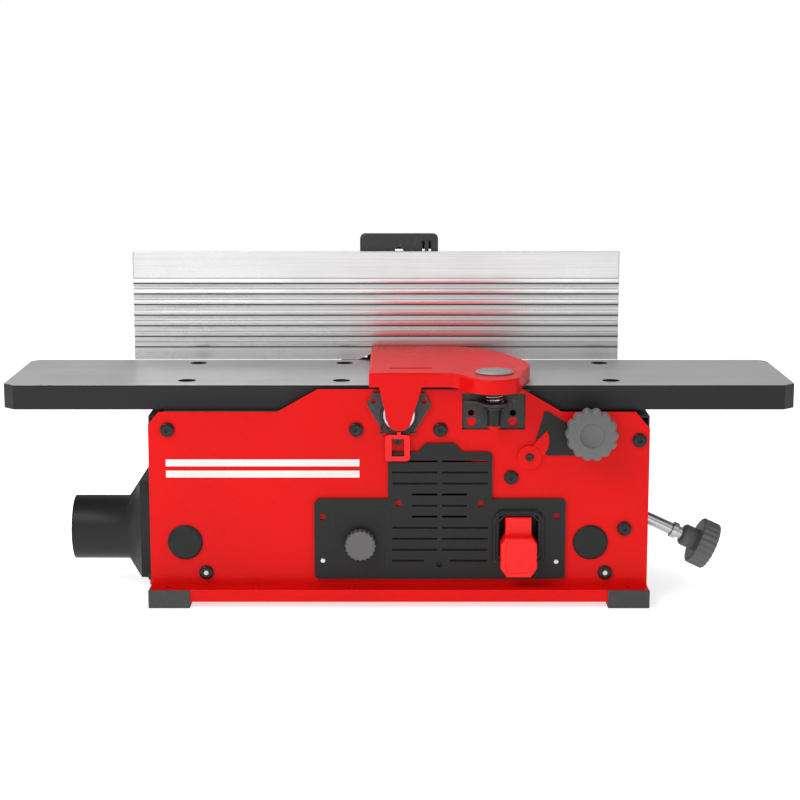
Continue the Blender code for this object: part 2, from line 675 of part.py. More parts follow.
def build_table_lock():
    """The front knob that clamps the infeed table at its height."""
    knob = fluted_knob("table_lock_knob", 25 * MM, 1.6 * MM, 17 * MM, 14, GREY_PLASTIC, dish=11.5 * MM)
    boss = 12.3 * MM
    join(knob, turned("lock_boss", [(0, 3 * MM), (11 * MM, 3 * MM), (11 * MM, -boss), (0, -boss)],
                      (0, 0, 0), Z_AXIS, steps=24))
    stud = LOCK_STUD_RADIUS
    join(knob, turned("lock_stud", [(0, 5 * MM), (stud, 5 * MM), (stud, -44 * MM), (0, -44 * MM)],
                      (0, 0, 0), Z_AXIS, steps=16))
    carry(knob, Vector((LOCK_X, front(-21), TABLE_HEIGHT - LOCK_DROP)), -Y_AXIS)


def build_depth_gauge():
    scale = face([(139, -24.2), (142.5, -24.2), (168, -40), (168.8, -67.3), (142, -67.1), (130, -56)])
    gauge = plate("depth_scale", "XZ", [scale], PANEL_FACE - GAP - 0.8 * MM, PANEL_FACE - GAP, BLACK)
    cut(gauge, rod("hub_room", (POINTER_X, PANEL_FACE - 3 * MM, POINTER_Z),
                   (POINTER_X, PANEL_FACE + 1 * MM, POINTER_Z), 4.5 * MM, steps=16))
    lean = math.radians(55)
    hub, reach = 11.6 * MM, 31 * MM
    first, last = 55 + 38, 55 - 38
    outline = arc(POINTER_X, POINTER_Z, hub, first, last + 360, 18)
    tip = (POINTER_X + reach * math.cos(lean), POINTER_Z + reach * math.sin(lean))
    outline.append(tip)
    low = PANEL_FACE - GAP - 0.8 * MM - GAP
    pointer = plate("depth_pointer", "XZ", [outline], low - 2 * MM, low, RED)
    join(pointer, rod("pointer_pin", (POINTER_X, low - 1 * MM, POINTER_Z),
                      (POINTER_X, PANEL_BACK - 0.1 * MM, POINTER_Z), KNOB_SHAFT_RADIUS, steps=12))
    set_origin(pointer, (POINTER_X, low, POINTER_Z))


# Cutterhead, bearings and drive


def build_cutterhead():
    """A steel drum with two knives, each held in its slot by a wedge bar."""
    y0, y1 = front(4), back(-3.8)
    rear_end = PULLEY_Y + PULLEY_WIDTH + 2 * MM
    start = PANEL_FACE - 4.6 * MM
    length = rear_end - start
    seat = PULLEY_Y - 2 * MM - start
    profile = [
        (0, length), (SHAFT_RADIUS, length), (SHAFT_RADIUS, seat), (JOURNAL_RADIUS, seat),
        (JOURNAL_RADIUS, y1 - start), (HEAD_RADIUS, y1 - start), (HEAD_RADIUS, y0 - start),
        (JOURNAL_RADIUS, y0 - start), (JOURNAL_RADIUS, 0), (0, 0),
    ]
    head = turned("cutterhead", profile, (0, start, HEAD_Z), Y_AXIS, STEEL, 40)
    half = KNIFE_THICK / 2
    knife_y = (y0 + 0.6 * MM, y1 - 0.6 * MM)
    for side, word in ((1, "a"), (-1, "b")):
        z = sorted((HEAD_Z + side * (half + RUN), HEAD_Z - side * (half + WEDGE_THICK + 2 * RUN)))
        x = sorted((side * (KNIFE_ROOT - RUN), side * (HEAD_RADIUS + 5 * MM)))
        cut(head, block("knife_slot", x, (y0 - 1 * MM, y1 + 1 * MM), z))
        profile = [(side * KNIFE_ROOT, HEAD_Z - side * half),
                   (side * (CUT_RADIUS - 0.1 * MM), HEAD_Z - side * half),
                   (side * (CUT_RADIUS - 2.6 * MM), HEAD_Z + side * half),
                   (side * KNIFE_ROOT, HEAD_Z + side * half)]
        knife = plate(f"knife_{word}", "XZ", [profile], *knife_y, STEEL)
        set_origin(knife, (0, knife_y[0], HEAD_Z))
        z = sorted((HEAD_Z - side * (half + RUN), HEAD_Z - side * (half + RUN + WEDGE_THICK)))
        x = sorted((side * (KNIFE_ROOT + 0.4 * MM), side * (HEAD_RADIUS - 1.6 * MM)))
        wedge = block(f"wedge_{word}", x, knife_y, z, BLACK_STEEL)
        set_origin(wedge, (0, knife_y[0], HEAD_Z))
    nose = HEAD_LOCK_SLOT / 2
    cut(head, block("lock_slot", (-nose, nose), (start - 1 * MM, start + 3 * MM),
                    (HEAD_Z - JOURNAL_RADIUS - 1 * MM, HEAD_Z - JOURNAL_RADIUS + 4 * MM)))


def build_bearings():
    """Each end of the cutterhead runs in a ball bearing, in a bossed plate bolted to its panel."""
    hole_places = face([(-23.8, -13.6), (23.8, -13.6)])
    for name, out, plate_y, boss_end in (
        ("front", -1, (PANEL_FACE - GAP - 2.9 * MM, PANEL_FACE - GAP), front(3.4)),
        ("rear", 1, (REAR_BACK + GAP, REAR_BACK + GAP + 3 * MM), back(-3.1)),
    ):
        holes = [circle(x, z, 2.8 * MM, 12) for x, z in hole_places]
        bore = BEARING_RADIUS + RUN
        carrier = plate(f"{name}_bearing_plate", "XZ", [HEX] + holes, *plate_y, CASTING)
        seat = sum(plate_y) / 2
        join(carrier, rod("boss", (0, seat, HEAD_Z), (0, boss_end, HEAD_Z), BEARING_RADIUS + BEARING_WALL, steps=32))
        cut(carrier, rod("bearing_bore", (0, plate_y[0] - 20 * MM, HEAD_Z), (0, plate_y[1] + 20 * MM, HEAD_Z),
                         bore, steps=32))
        outside = plate_y[0] if out < 0 else plate_y[1]
        inside = outside - out * BEARING_WIDTH
        ring(f"{name}_bearing", BEARING_RADIUS, JOURNAL_RADIUS + RUN, (0, outside, HEAD_Z),
             (0, inside, HEAD_Z), STEEL)


def pulley(name, x, z, radius, bore, y0):
    w = PULLEY_WIDTH
    profile = [
        (bore, w), (radius + 2 * MM, w), (radius + 2 * MM, w - 1.5 * MM), (radius, w - 1.5 * MM),
        (radius, 1.5 * MM), (radius + 2 * MM, 1.5 * MM), (radius + 2 * MM, 0), (bore, 0),
    ]
    return turned(name, profile, (x, y0, z), Y_AXIS, STEEL, 32)


def build_drive():
    pulley("driven_pulley", 0, HEAD_Z, DRIVEN_PULLEY_RADIUS, SHAFT_RADIUS + RUN, PULLEY_Y)
    pulley("drive_pulley", MOTOR_X, MOTOR_Z, DRIVE_PULLEY_RADIUS, SHAFT_RADIUS + RUN, PULLEY_Y)
    inner = strap(DRIVEN_PULLEY_RADIUS + RUN, DRIVE_PULLEY_RADIUS + RUN)
    outer = strap(DRIVEN_PULLEY_RADIUS + RUN + BELT_THICK, DRIVE_PULLEY_RADIUS + RUN + BELT_THICK)
    belt_y = (PULLEY_Y + 2 * MM, PULLEY_Y + PULLEY_WIDTH - 2 * MM)
    plate("drive_belt", "XZ", [outer, inner], *belt_y, RUBBER)

    y0, y1 = front(30), REAR_FACE - GAP
    length = y1 - y0
    bore = SHAFT_RADIUS + RUN
    profile = [
        (bore, length), (MOTOR_RADIUS + 6 * MM, length), (MOTOR_RADIUS + 6 * MM, length - 6 * MM),
        (MOTOR_RADIUS, length - 6 * MM), (MOTOR_RADIUS, 6 * MM), (MOTOR_RADIUS - 6 * MM, 0),
        (18 * MM, 0), (18 * MM, -6 * MM), (bore, -6 * MM),
    ]
    turned("motor", profile, (MOTOR_X, y0, MOTOR_Z), Y_AXIS, BLACK_STEEL, 32)
    rod("motor_shaft", (MOTOR_X, y0 - 12 * MM, MOTOR_Z), (MOTOR_X, PULLEY_Y + PULLEY_WIDTH + 2 * MM, MOTOR_Z),
        SHAFT_RADIUS, STEEL)

    room = BELT_THICK + 2.3 * MM
    inner = strap(DRIVEN_PULLEY_RADIUS + room, DRIVE_PULLEY_RADIUS + room)
    wall = room + COVER_WALL
    outer = strap(DRIVEN_PULLEY_RADIUS + wall, DRIVE_PULLEY_RADIUS + wall)
    cover = plate("belt_cover", "XZ", [outer], REAR_BACK + GAP, COVER_END, BLACK_PLASTIC)
    hollow = plate("cover_room", "XZ", [inner], REAR_BACK - 5 * MM, COVER_END - COVER_WALL)
    grown = [(1.03 * x, HEAD_Z + 1.04 * (z - HEAD_Z)) for x, z in HEX]
    plate_room = plate("plate_room", "XZ", [grown], REAR_BACK - 5 * MM, REAR_BACK + 3 * MM + 3 * GAP)
    cut(cover, hollow, plate_room)


# Dust outlet


def ring_of(points, count, middle, corners):
    """Where rays at even angles from the middle meet a rectangle, or a circle if corners is a radius."""
    found = []
    u0, v0 = middle
    for i in range(count):
        a = 2 * math.pi * (i + 0.5) / count
        du, dv = math.cos(a), math.sin(a)
        if isinstance(corners, tuple):
            reach_u = (corners[1] - u0 if du > 0 else corners[0] - u0) / du
            reach_v = (corners[3] - v0 if dv > 0 else corners[2] - v0) / dv
            reach = min(reach_u, reach_v)
        else:
            reach = corners
        found.append(points(u0 + reach * du, v0 + reach * dv))
    return found


def build_dust_outlet():
    """A chute under the cutterhead leads the chips to a round hose port on the outfeed end."""
    wall = CHUTE_WALL
    y = (front(14), back(-14))
    mouth = [(-42 * MM, y[0], top(-60.4)), (34 * MM, y[0], top(-60.4)), (34 * MM, y[1], top(-60.4)),
             (-42 * MM, y[1], top(-60.4))]
    bend = [(-56 * MM, y[0], top(-68)), (-20 * MM, y[0], top(-103)), (-20 * MM, y[1], top(-103)),
            (-56 * MM, y[1], top(-68))]
    inside = wall + GAP
    low, high = PORT_OPEN_Z[0] + inside, PORT_OPEN_Z[1] - inside
    near, far = PORT_OPEN_Y[0] + inside, PORT_OPEN_Y[1] - inside
    middle_x = -130 * MM
    middle = [(middle_x, near, high), (middle_x, near, low), (middle_x, far, low), (middle_x, far, high)]
    end_x = -BODY_END + 0.8 * MM
    end = [(end_x, near, high), (end_x, near, low), (end_x, far, low), (end_x, far, high)]
    skin("dust_chute", [mouth, bend, middle, end], wall, 1, BLACK_PLASTIC)

    count = 28
    centre = (FRONT_Y + PORT_Y, (PORT_OPEN_Z[0] + PORT_OPEN_Z[1]) / 2)
    box = (*PORT_OPEN_Y, *PORT_OPEN_Z)
    start_x = -BODY_END + 0.8 * MM - GAP
    plate_x = start_x - 3 * MM
    throat = ring_of(lambda u, v: (plate_x + 0.6 * MM, u, v), count, centre, box)
    flare = ring_of(lambda u, v: (plate_x - 7 * MM, u, v), count, centre, box)
    round_middle = (FRONT_Y + PORT_Y, PORT_HEIGHT)
    bore = PORT_RADIUS - PORT_WALL
    neck = ring_of(lambda u, v: (plate_x - 24 * MM, u, v), count, round_middle, bore)
    rim = ring_of(lambda u, v: (-BODY_END - PORT_END, u, v), count, round_middle, bore)
    port = skin("dust_port", [throat, flare, neck, rim], PORT_WALL, 1, BLACK_PLASTIC)
    margin = 9 * MM
    edge = rectangle(PORT_OPEN_Y[0] - margin + 4 * MM, PORT_OPEN_Y[1] + margin,
                     PORT_OPEN_Z[0] - margin, PORT_OPEN_Z[1] + margin)
    hole = rectangle(PORT_OPEN_Y[0] + 0.1 * MM, PORT_OPEN_Y[1] - 0.1 * MM,
                     PORT_OPEN_Z[0] + 0.1 * MM, PORT_OPEN_Z[1] - 0.1 * MM)
    join(port, plate("port_flange", "YZ", [edge, hole], plate_x, start_x))


# Controls on the front


def build_control_panel():
    low, left, right = 23.7 * MM, -81.7 * MM, 160.5 * MM
    shelf = 103.1 * MM
    outline = arc(left + 4 * MM, low + 4 * MM, 4 * MM, 180, 270, 3)
    outline += arc(right - 4 * MM, low + 4 * MM, 4 * MM, 270, 360, 3)
    outline += arc(right - 4 * MM, shelf - 4 * MM, 4 * MM, 0, 90, 3)
    outline += [(89.5 * MM, shelf), (89.5 * MM, top(-66)), (86.5 * MM, top(-63.5)), (61.3 * MM, top(-63.5))]
    outline += face([(53.6, -54.9), (25.8, -54.9), (17.8, -63.5), (-7.6, -63.5), (-10.6, -66)])
    outline += [(-10.6 * MM, shelf), (left + 4 * MM, shelf), (left, shelf - 4 * MM)]
    holes = [
        circle(SPEED_X, SPEED_Z, KNOB_SHAFT_RADIUS + 1 * MM, 12),
        rectangle(SWITCH_X[0] - RUN, SWITCH_X[1] + RUN, SWITCH_Z[0] - RUN, SWITCH_Z[1] + RUN),
    ]
    tall, pitch = 2.2 * MM, 10.9 * MM
    wide_rows = {0, 1, 2, 6, 7, 8}
    for row in range(10):
        z = top(-72.3) - row * pitch
        u0, u1 = (-6.8, 85.6) if row in wide_rows else (12.5, 65.4)
        inner = 37 if row < 9 else 24
        outer = 41.3 if row < 9 else 49.3
        if row == 9:
            u0, u1 = -6.8, 85.6
        holes.append(rectangle(u0 * MM, inner * MM, z - tall / 2, z + tall / 2))
        holes.append(rectangle(outer * MM, u1 * MM, z - tall / 2, z + tall / 2))
    drops = [(-73.7, 84.9), (-73.6, 41.7), (-0.2, 98.3), (78.4, 98.3), (39.1, 38.3), (151.7, 85.7),
             (152.1, 40.6)]
    holes += [circle(x * MM, z * MM, 3.2 * MM, 10) for x, z in drops]
    plate("control_panel", "XZ", [outline] + holes, CONTROL_FACE, PANEL_FACE - GAP, BLACK_PLASTIC)


def octagon(x0, x1, z0, z1, chamfer):
    c = chamfer
    return [(x0 + c, z0), (x1 - c, z0), (x1, z0 + c), (x1, z1 - c), (x1 - c, z1), (x0 + c, z1),
            (x0, z1 - c), (x0, z0 + c)]


def build_switch():
    """A boxed safety switch behind a wide stop paddle that hangs from its top."""
    x0, x1 = SWITCH_X
    z0, z1 = SWITCH_Z
    bezel_y = (CONTROL_FACE - GAP - 2.6 * MM, CONTROL_FACE - GAP)
    well = rectangle(x0 + 3.5 * MM, x1 - 3 * MM, z0 + 3 * MM, z1 - 2.5 * MM)
    rim = octagon(x0 - 2.5 * MM, x1 + 3 * MM, z0 - 3.5 * MM, z1 + 3 * MM, 8 * MM)
    body = plate("switch_body", "XZ", [rectangle(x0, x1, z0, z1)], bezel_y[0] + 0.7 * MM,
                 CONTROL_FACE + 31 * MM, BLACK_PLASTIC)
    join(body, plate("bezel", "XZ", [rim], *bezel_y))
    cut(body, plate("switch_well", "XZ", [well], bezel_y[0] - 5 * MM, CONTROL_FACE + 16 * MM))
    hinge_y, hinge_z = CONTROL_FACE + 1 * MM, z1 - 7 * MM
    fore, rear = CONTROL_FACE - 19 * MM, CONTROL_FACE - 9.5 * MM
    z_wide, z_low = z1 - 28 * MM, z0 - 10.5 * MM
    side = [(hinge_y + 3 * MM, hinge_z), (hinge_y, hinge_z + 3.5 * MM), (fore + 9 * MM, hinge_z + 1 * MM),
            (fore + 1 * MM, z_wide - 4 * MM), (rear, z_wide - 4 * MM), (rear, z_wide),
            (hinge_y + 3 * MM, hinge_z - 6 * MM)]
    middle = (x0 + x1) / 2
    paddle = plate("switch_paddle", "YZ", [side], middle - 12.5 * MM, middle + 12.5 * MM, RED)
    half = 17.5 * MM
    wide = [(middle - half, z_wide), (middle - half, z_low + 8 * MM), (middle - half + 8 * MM, z_low),
            (middle + half - 8 * MM, z_low), (middle + half, z_low + 8 * MM), (middle + half, z_wide)]
    join(paddle, plate("paddle_wide", "XZ", [wide], fore, rear - 0.2 * MM))
    set_origin(paddle, (middle, hinge_y, hinge_z))


def build_speed_control():
    block("speed_control", (SPEED_X - 20 * MM, SPEED_X + 20 * MM), (PANEL_BACK + GAP, PANEL_BACK + 14 * MM),
          (SPEED_Z - 20 * MM, SPEED_Z + 20 * MM), BLACK_PLASTIC)
    knob = fluted_knob("speed_knob", 15 * MM, 1.2 * MM, 11.5 * MM, 20, GREY_PLASTIC)
    reach = PANEL_BACK - CONTROL_FACE + 0.4 * MM
    shaft = KNOB_SHAFT_RADIUS
    join(knob, turned("knob_shaft", [(0, 3 * MM), (shaft, 3 * MM), (shaft, -reach), (0, -reach)],
                      (0, 0, 0), Z_AXIS, steps=12))
    carry(knob, Vector((SPEED_X, CONTROL_FACE - 0.6 * MM, SPEED_Z)), -Y_AXIS)


def build_caps_and_gland():
    for x, word in zip(CAP_X, ("left", "right")):
        neck = CAP_RADIUS - 5.5 * MM
        profile = [(0, 2.6 * MM), (CAP_RADIUS - 2 * MM, 2.4 * MM), (CAP_RADIUS, 1 * MM), (CAP_RADIUS, 0),
                   (neck, 0), (neck, -4 * MM), (0, -4 * MM)]
        turned(f"service_cap_{word}", profile, (x, PANEL_FACE - GAP, CAP_Z), -Y_AXIS, BLACK_PLASTIC, 28)
    profile = [(4.2 * MM, 20 * MM), (7 * MM, 20 * MM), (8 * MM, 6 * MM), (11 * MM, 5 * MM), (11 * MM, 0),
               (6.6 * MM, 0), (6.6 * MM, -6 * MM), (4.2 * MM, -6 * MM)]
    turned("cord_gland", profile, (-200 * MM, REAR_BACK + GAP, 45 * MM), Y_AXIS, BLACK_PLASTIC, 20)


def build_head_lock():
    """A small slide that is pushed up into the cutterhead's slot while its knives are changed."""
    rear = CONTROL_FACE - 0.5 * MM
    outline = rounded(-13.1 * MM, 10.4 * MM, top(-71.7), top(-46.2), 3 * MM)
    window = rectangle(-7.1 * MM, 5 * MM, top(-67), top(-50.1))
    slide = plate("head_lock", "XZ", [outline, window], rear - 2.4 * MM, rear, RED)
    nose = HEAD_LOCK_SLOT / 2 - 0.7 * MM
    join(slide, block("nose", (-nose, nose), (rear - 2.3 * MM, rear - 0.1 * MM), (top(-48), top(-43.2))))


# Guard


def guard_outline():
    """The guard from above: a straight left edge beside the fence, a long curve to the infeed side and a
    round bulge round its pivot. Points in millimetres, X from the middle, Y from the tables' front edge."""
    rear = TABLE_WIDTH / MM - 2
    left, fore, bulge = -28.5, -14, 25
    points = [(49.2, fore), (left, fore), (left, rear - 8)]
    points += arc(left + 8, rear - 8, 8, 150, 90, 3)
    points += [(31, rear)] + arc(46, 100, 58, 76, 44, 3)
    points += [(106, 112), (116, 86), (124, 62), (128, 42), (127, 26), (120, -2)]
    points += arc(GUARD_X / MM - 1, bulge - FRONT_REACH / MM, bulge, -18, -162, 8)
    points += [(59, -29)]
    return [(x * MM, front(y)) for x, y in reversed(points)]


def build_guard():
    high = TABLE_HEIGHT + GUARD_TOP
    low = TABLE_HEIGHT + GUARD_LIFT
    pivot = (GUARD_X, FRONT_Y + GUARD_Y)
    shape = bmesh.new()
    corners = [shape.verts.new((x, y, high)) for x, y in guard_outline()]
    roof = shape.faces.new(corners)
    walls = bmesh.ops.extrude_edge_only(shape, edges=roof.edges[:])["geom"]
    below = [part for part in walls if isinstance(part, bmesh.types.BMVert)]
    bmesh.ops.translate(shape, verts=below, vec=(0, 0, low - high))
    bmesh.ops.recalc_face_normals(shape, faces=shape.faces)
    roof.normal_update()
    if roof.normal.z < 0:
        bmesh.ops.reverse_faces(shape, faces=shape.faces)
    mesh = bpy.data.meshes.new("guard")
    shape.to_mesh(mesh)
    shape.free()
    guard = put("guard", mesh, RED)
    wall = guard.modifiers.new("wall", "SOLIDIFY")
    wall.thickness = GUARD_WALL
    wall.offset = -1
    wall.use_even_offset = True
    boss = rod("guard_boss", (*pivot, low + 0.4 * MM), (*pivot, high - 1 * MM), POST_RADIUS + 3.2 * MM)
    root = block("tongue_root", (-18.9 * MM, 21.6 * MM), (front(-17), front(-12.5)), (top(0.4), top(11)))
    tongue = face([(-18.9, 4), (-18.9, 0.4), (-10.4, -36), (-7.4, -40), (-2, -41.6), (4, -41.4), (8.6, -39),
                   (10.6, -36), (21.6, 0.4), (21.6, 4)])
    tongue = plate("tongue", "XZ", [tongue], front(-17.1), front(-14.4))
    join(guard, boss, root, tongue)
    cut(guard, rod("post_bore", (*pivot, low - 3 * MM), (*pivot, high - GUARD_WALL - 1 * MM),
                   POST_RADIUS + RUN))
    set_origin(guard, (*pivot, low))

    cap = 18.5 * MM
    profile = [(0, 2.6 * MM), (cap - 2 * MM, 2.2 * MM), (cap, 0.8 * MM), (cap, 0), (0, 0)]
    turned("guard_cap", profile, (*pivot, high + GAP), Z_AXIS, GREY_PLASTIC, 32)

    shelf = TABLE_HEIGHT - SHELF_DROP
    post_low = TABLE_HEIGHT - POST_BOTTOM
    under = shelf - SHELF_THICK - GAP - post_low
    end = high - GUARD_WALL - 1.4 * MM - post_low
    profile = [(0, end), (POST_RADIUS, end), (POST_RADIUS, under), (9 * MM, under), (9 * MM, under - 3 * MM),
               (POST_RADIUS, under - 3 * MM), (POST_RADIUS, 0), (0, 0)]
    turned("guard_post", profile, (*pivot, post_low), Z_AXIS, BLACK_STEEL, 24)

    behind = PANEL_BACK + GAP
    margin = 4 * MM
    outline = rectangle(WINDOW_X[0] - margin, WINDOW_X[1] + margin, WINDOW_Z[0] - margin,
                        WINDOW_Z[1] + 3.3 * MM)
    keys = []
    for x in (69, 109):
        keys += face(circle(x, -26, 3.2, 12)), face(circle(x, -35, 4.8, 14))
    bracket = plate("guard_bracket", "XZ", [outline] + keys, behind, behind + 2.5 * MM, CASTING)
    wide = [(62, -4.6), (104, -4.6), (104, -9), (103.5, GUARD_Y / MM)]
    tip = arc(GUARD_X / MM, GUARD_Y / MM, 13, 0, -180, 10)
    shelf_points = wide[:3] + tip + [(75.5, -13), (68, -9), (62, -7.5)]
    shelf_loop = [(x * MM, front(y)) for x, y in reversed(shelf_points)]
    hole = circle(*pivot, POST_RADIUS + RUN, 24)
    join(bracket, plate("shelf", "XY", [shelf_loop, hole], shelf - SHELF_THICK, shelf))

    turns, points = 4, 12
    spring_low, spring_high = shelf + 1.2 * MM, low - 1.2 * MM
    curve = bpy.data.curves.new("guard_spring", "CURVE")
    curve.dimensions = "3D"
    curve.bevel_depth = 0.8 * MM
    curve.bevel_resolution = 1
    curve.use_fill_caps = True
    spline = curve.splines.new("POLY")
    spline.points.add(turns * points)
    for i, point in enumerate(spline.points):
        a = 2 * math.pi * i / points
        rise = spring_low + (spring_high - spring_low) * i / (turns * points)
        point.co = (8.1 * MM * math.cos(a), 8.1 * MM * math.sin(a), rise, 1)
    curve.materials.append(STEEL)
    spring = bpy.data.objects.new("guard_spring", curve)
    PARTS.objects.link(spring)
    spring.location = (*pivot, 0)


# Fence


def build_fence():
    """An aluminium extrusion with long grooves in its face and a bevelled foot that lets it lean back."""
    low, high = TABLE_HEIGHT + FENCE_LIFT, TABLE_HEIGHT + FENCE_TOP
    y0, y1 = FENCE_FACE, FENCE_BACK
    profile = [(y0, low)]
    for i in range(GROOVES):
        z = TABLE_HEIGHT + GROOVE_FIRST + i * GROOVE_PITCH
        half = GROOVE_WIDTH / 2
        profile += [(y0, z - half), (y0 + GROOVE_DEPTH, z - half), (y0 + GROOVE_DEPTH, z + half),
                    (y0, z + half)]
    foot = FENCE_THICK - 1.5 * MM
    profile += [(y0, high), (y1, high), (y1, low + foot), (y1 - foot, low)]
    end0, end1 = FENCE_X - FENCE_LENGTH / 2, FENCE_X + FENCE_LENGTH / 2
    fence = plate("fence", "YZ", [profile], end0, end1, BRUSHED)
    notch = [(-43 * MM, low - 3 * MM), (43 * MM, low - 3 * MM), (43 * MM, low - 0.4 * MM)]
    notch += [(30 * MM, low + 4.6 * MM), (-30 * MM, low + 4.6 * MM), (-43 * MM, low - 0.4 * MM)]
    cut(fence, plate("head_notch", "XZ", [notch], y0 - 5 * MM, y1 + 5 * MM))
    set_origin(fence, (FENCE_X, PIN_Y, PIN_Z))

    half = 40.4 * MM
    foot_z = PIN_Z + LEVER_RADIUS + 2 * MM
    crown = top(130.4)
    y0, y1 = FENCE_BACK + GAP, FENCE_BACK + GAP + 6 * MM
    outline = [(-half, foot_z), (half, foot_z)]
    outline += arc(half - 5 * MM, crown - 5 * MM, 5 * MM, 0, 90, 3)
    outline += arc(-half + 5 * MM, crown - 5 * MM, 5 * MM, 90, 180, 3)
    holes = [circle(0, top(112), 4.5 * MM, 14)]
    holes += [rectangle(x * MM, (x + 2.6) * MM, top(70), top(123)) for x in (24, 30.5)]
    bracket = plate("fence_bracket", "XZ", [outline] + holes, y0, y1, CASTING)
    barrel = rod("knuckle", (-KNUCKLE_HALF, PIN_Y, PIN_Z), (KNUCKLE_HALF, PIN_Y, PIN_Z), KNUCKLE_RADIUS)
    web = block("knuckle_web", (-KNUCKLE_HALF + 1 * MM, KNUCKLE_HALF - 1 * MM), (y0, y1),
                (PIN_Z + 1 * MM, foot_z + 6 * MM))
    join(bracket, barrel, web)
    for x in (-30, -12, 16):
        rib = [(y1 - 1 * MM, top(30)), (y1 + 5 * MM, top(40)), (y1 + 5 * MM, top(112)), (y1 - 1 * MM, top(122))]
        join(bracket, plate("bracket_rib", "YZ", [rib], (x - 2) * MM, (x + 2) * MM))
    bore = PIN_RADIUS + RUN
    cut(bracket, rod("pin_bore", (-SUPPORT_HALF, PIN_Y, PIN_Z), (SUPPORT_HALF, PIN_Y, PIN_Z), bore, steps=16))
    set_origin(bracket, (0, PIN_Y, PIN_Z))


